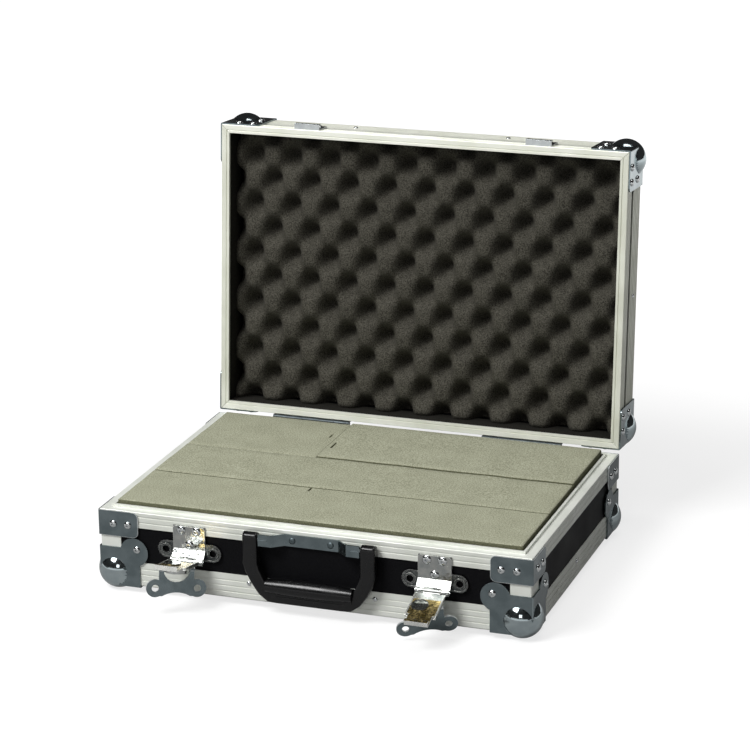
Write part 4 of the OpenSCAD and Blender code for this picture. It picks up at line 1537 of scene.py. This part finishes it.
@dataclass
class Latch:
    """One butterfly latch: plate, body, flap, claw, cam and wing."""

    workshop: Workshop
    side: str
    rivet_swell: float = 1.2

    def build(self) -> None:
        """Rounds the edges of its stampings and dresses its pins."""
        name = f"latch_{self.side}_"
        shop = self.workshop
        # Each plate is painted dark as shade, and the stampings' edges pale as painted highlights.
        for part, finish, radius_mm, edge, sheet in (
            ("base_plate", NICKEL_PAINTED_SHADE, 0.6, NICKEL_EDGE_PAINTED_HIGHLIGHT, False),
            ("body", NICKEL, 0.5, NICKEL_EDGE_PAINTED_HIGHLIGHT, False),
            ("flap", FLAP_NICKEL, 0.45, NICKEL_EDGE_PAINTED_HIGHLIGHT, False),
            ("claw", YELLOW_ZINC, 0.4, NICKEL_EDGE_PAINTED_HIGHLIGHT, True),
            ("cam", NICKEL, 0.4, NICKEL_EDGE_PAINTED_HIGHLIGHT, False),
            ("wing", ZINC_STEEL, 0.7, ZINC_EDGE_PAINTED_HIGHLIGHT, True),
        ):
            body = "base" if part in ("base_plate", "body") else f"{self.side}_{part}"
            shop.eased(name + part, finish, radius_mm, body, edge, sheet=sheet)
        shop.dress(name + "pin", RIVET_STEEL)
        shop.dress(name + "wing_pins", RIVET_STEEL)
        Rivets(shop, swell=self.rivet_swell).build(name + "rivets", "base")
        shop.eased("keeper_" + self.side, KEEPER_STEEL, ROLLED_EDGE, "lid")


@dataclass
class Fittings:
    """The hinges, the handle's strap and the thin foams."""

    workshop: Workshop
    strap_edge: float = 0.6
    strap_dimple: float = 0.1

    def build(self) -> None:
        """Makes the remaining pieces of metal and foam."""
        shop = self.workshop
        # The hinge leaves are painted nearly black, as painted shade.
        shop.eased("hinge_base_leaves", HINGE_STEEL_PAINTED_SHADE, ROLLED_EDGE, "base")
        shop.eased("hinge_lid_leaves", HINGE_STEEL_PAINTED_SHADE, ROLLED_EDGE, "lid")
        shop.dress("hinge_pins", RIVET_STEEL)
        # The strap's rounded edges are painted pale, as a painted highlight.
        shop.eased("handle_strap", ZINC_STEEL, self.strap_edge, "base", edge=ZINC_EDGE_PAINTED_HIGHLIGHT)
        shop.dress("handle_pins", RIVET_STEEL)
        for node, body in (
            ("hinge_base_rivets", "base"),
            ("hinge_lid_rivets", "lid"),
            ("keeper_rivets", "lid"),
        ):
            Rivets(shop).build(node, body)
        Rivets(shop, dimple=self.strap_dimple).build("handle_rivets", "base", DULL_ZINC)
        for node, body, finish, radius_mm in (
            ("lid_lining_strips", "lid", LINING_FOAM, 0.5),
            ("foam_floor_pad", "base", BASE_FOAM, 1.0),
        ):
            shape = shop.merged(node)
            shop.round_edges(shape, radius_mm)
            shop.settle(shape, node + ".cut", HARD_METAL, body, [finish], [node], fill=1.0)


def main() -> None:
    """Builds the studio and the case."""
    logging.basicConfig(level=logging.INFO, format="%(message)s")
    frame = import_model()
    Studio().build()
    shop = Workshop(frame)
    shop.dress("base_bottom_panel", LAMINATE)
    shop.dress("lid_top_panel", LAMINATE)
    Shell(
        shop,
        "base",
        ("base_rim_profile", "base_bottom_edging"),
        ("base_ball_corners", "base_rim_braces"),
        ("base_ball_corner_rivets", "base_brace_rivets", "base_edging_rivets"),
        ALU_ACROSS,
        ALU_DEPTH,
    ).build()
    Shell(
        shop,
        "lid",
        ("lid_rim_profile", "lid_top_edging"),
        ("lid_ball_corners",),
        ("lid_corner_rivets", "lid_edging_rivets"),
        ALU_LID_ACROSS,
        ALU_LID_SIDES_PAINTED_SHADE,
    ).build()
    shop.eased("base_corner_edging", ALU_UPRIGHT, ROLLED_EDGE, "base")
    for side in ("left", "right"):
        Latch(shop, side).build()
    Fittings(shop).build()
    Handle(shop).build()
    FoamBlock(shop, "foam_front_block", FRONT_NICKS, sunk_mm=0.9).build()
    FoamBlock(shop, "foam_middle_block", MIDDLE_NICKS, sunk_mm=0.1).build()
    FoamBlock(shop, "foam_back_left_block", BACK_LEFT_NICKS).build()
    FoamBlock(shop, "foam_back_right_block", BACK_RIGHT_NICKS, sunk_mm=0.8).build()
    EggCrate(shop, Vector(LID_HINGE)).build()
    LOG.info("%d pieces made", shop.count)
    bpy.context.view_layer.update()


if __name__ == "__main__":
    main()
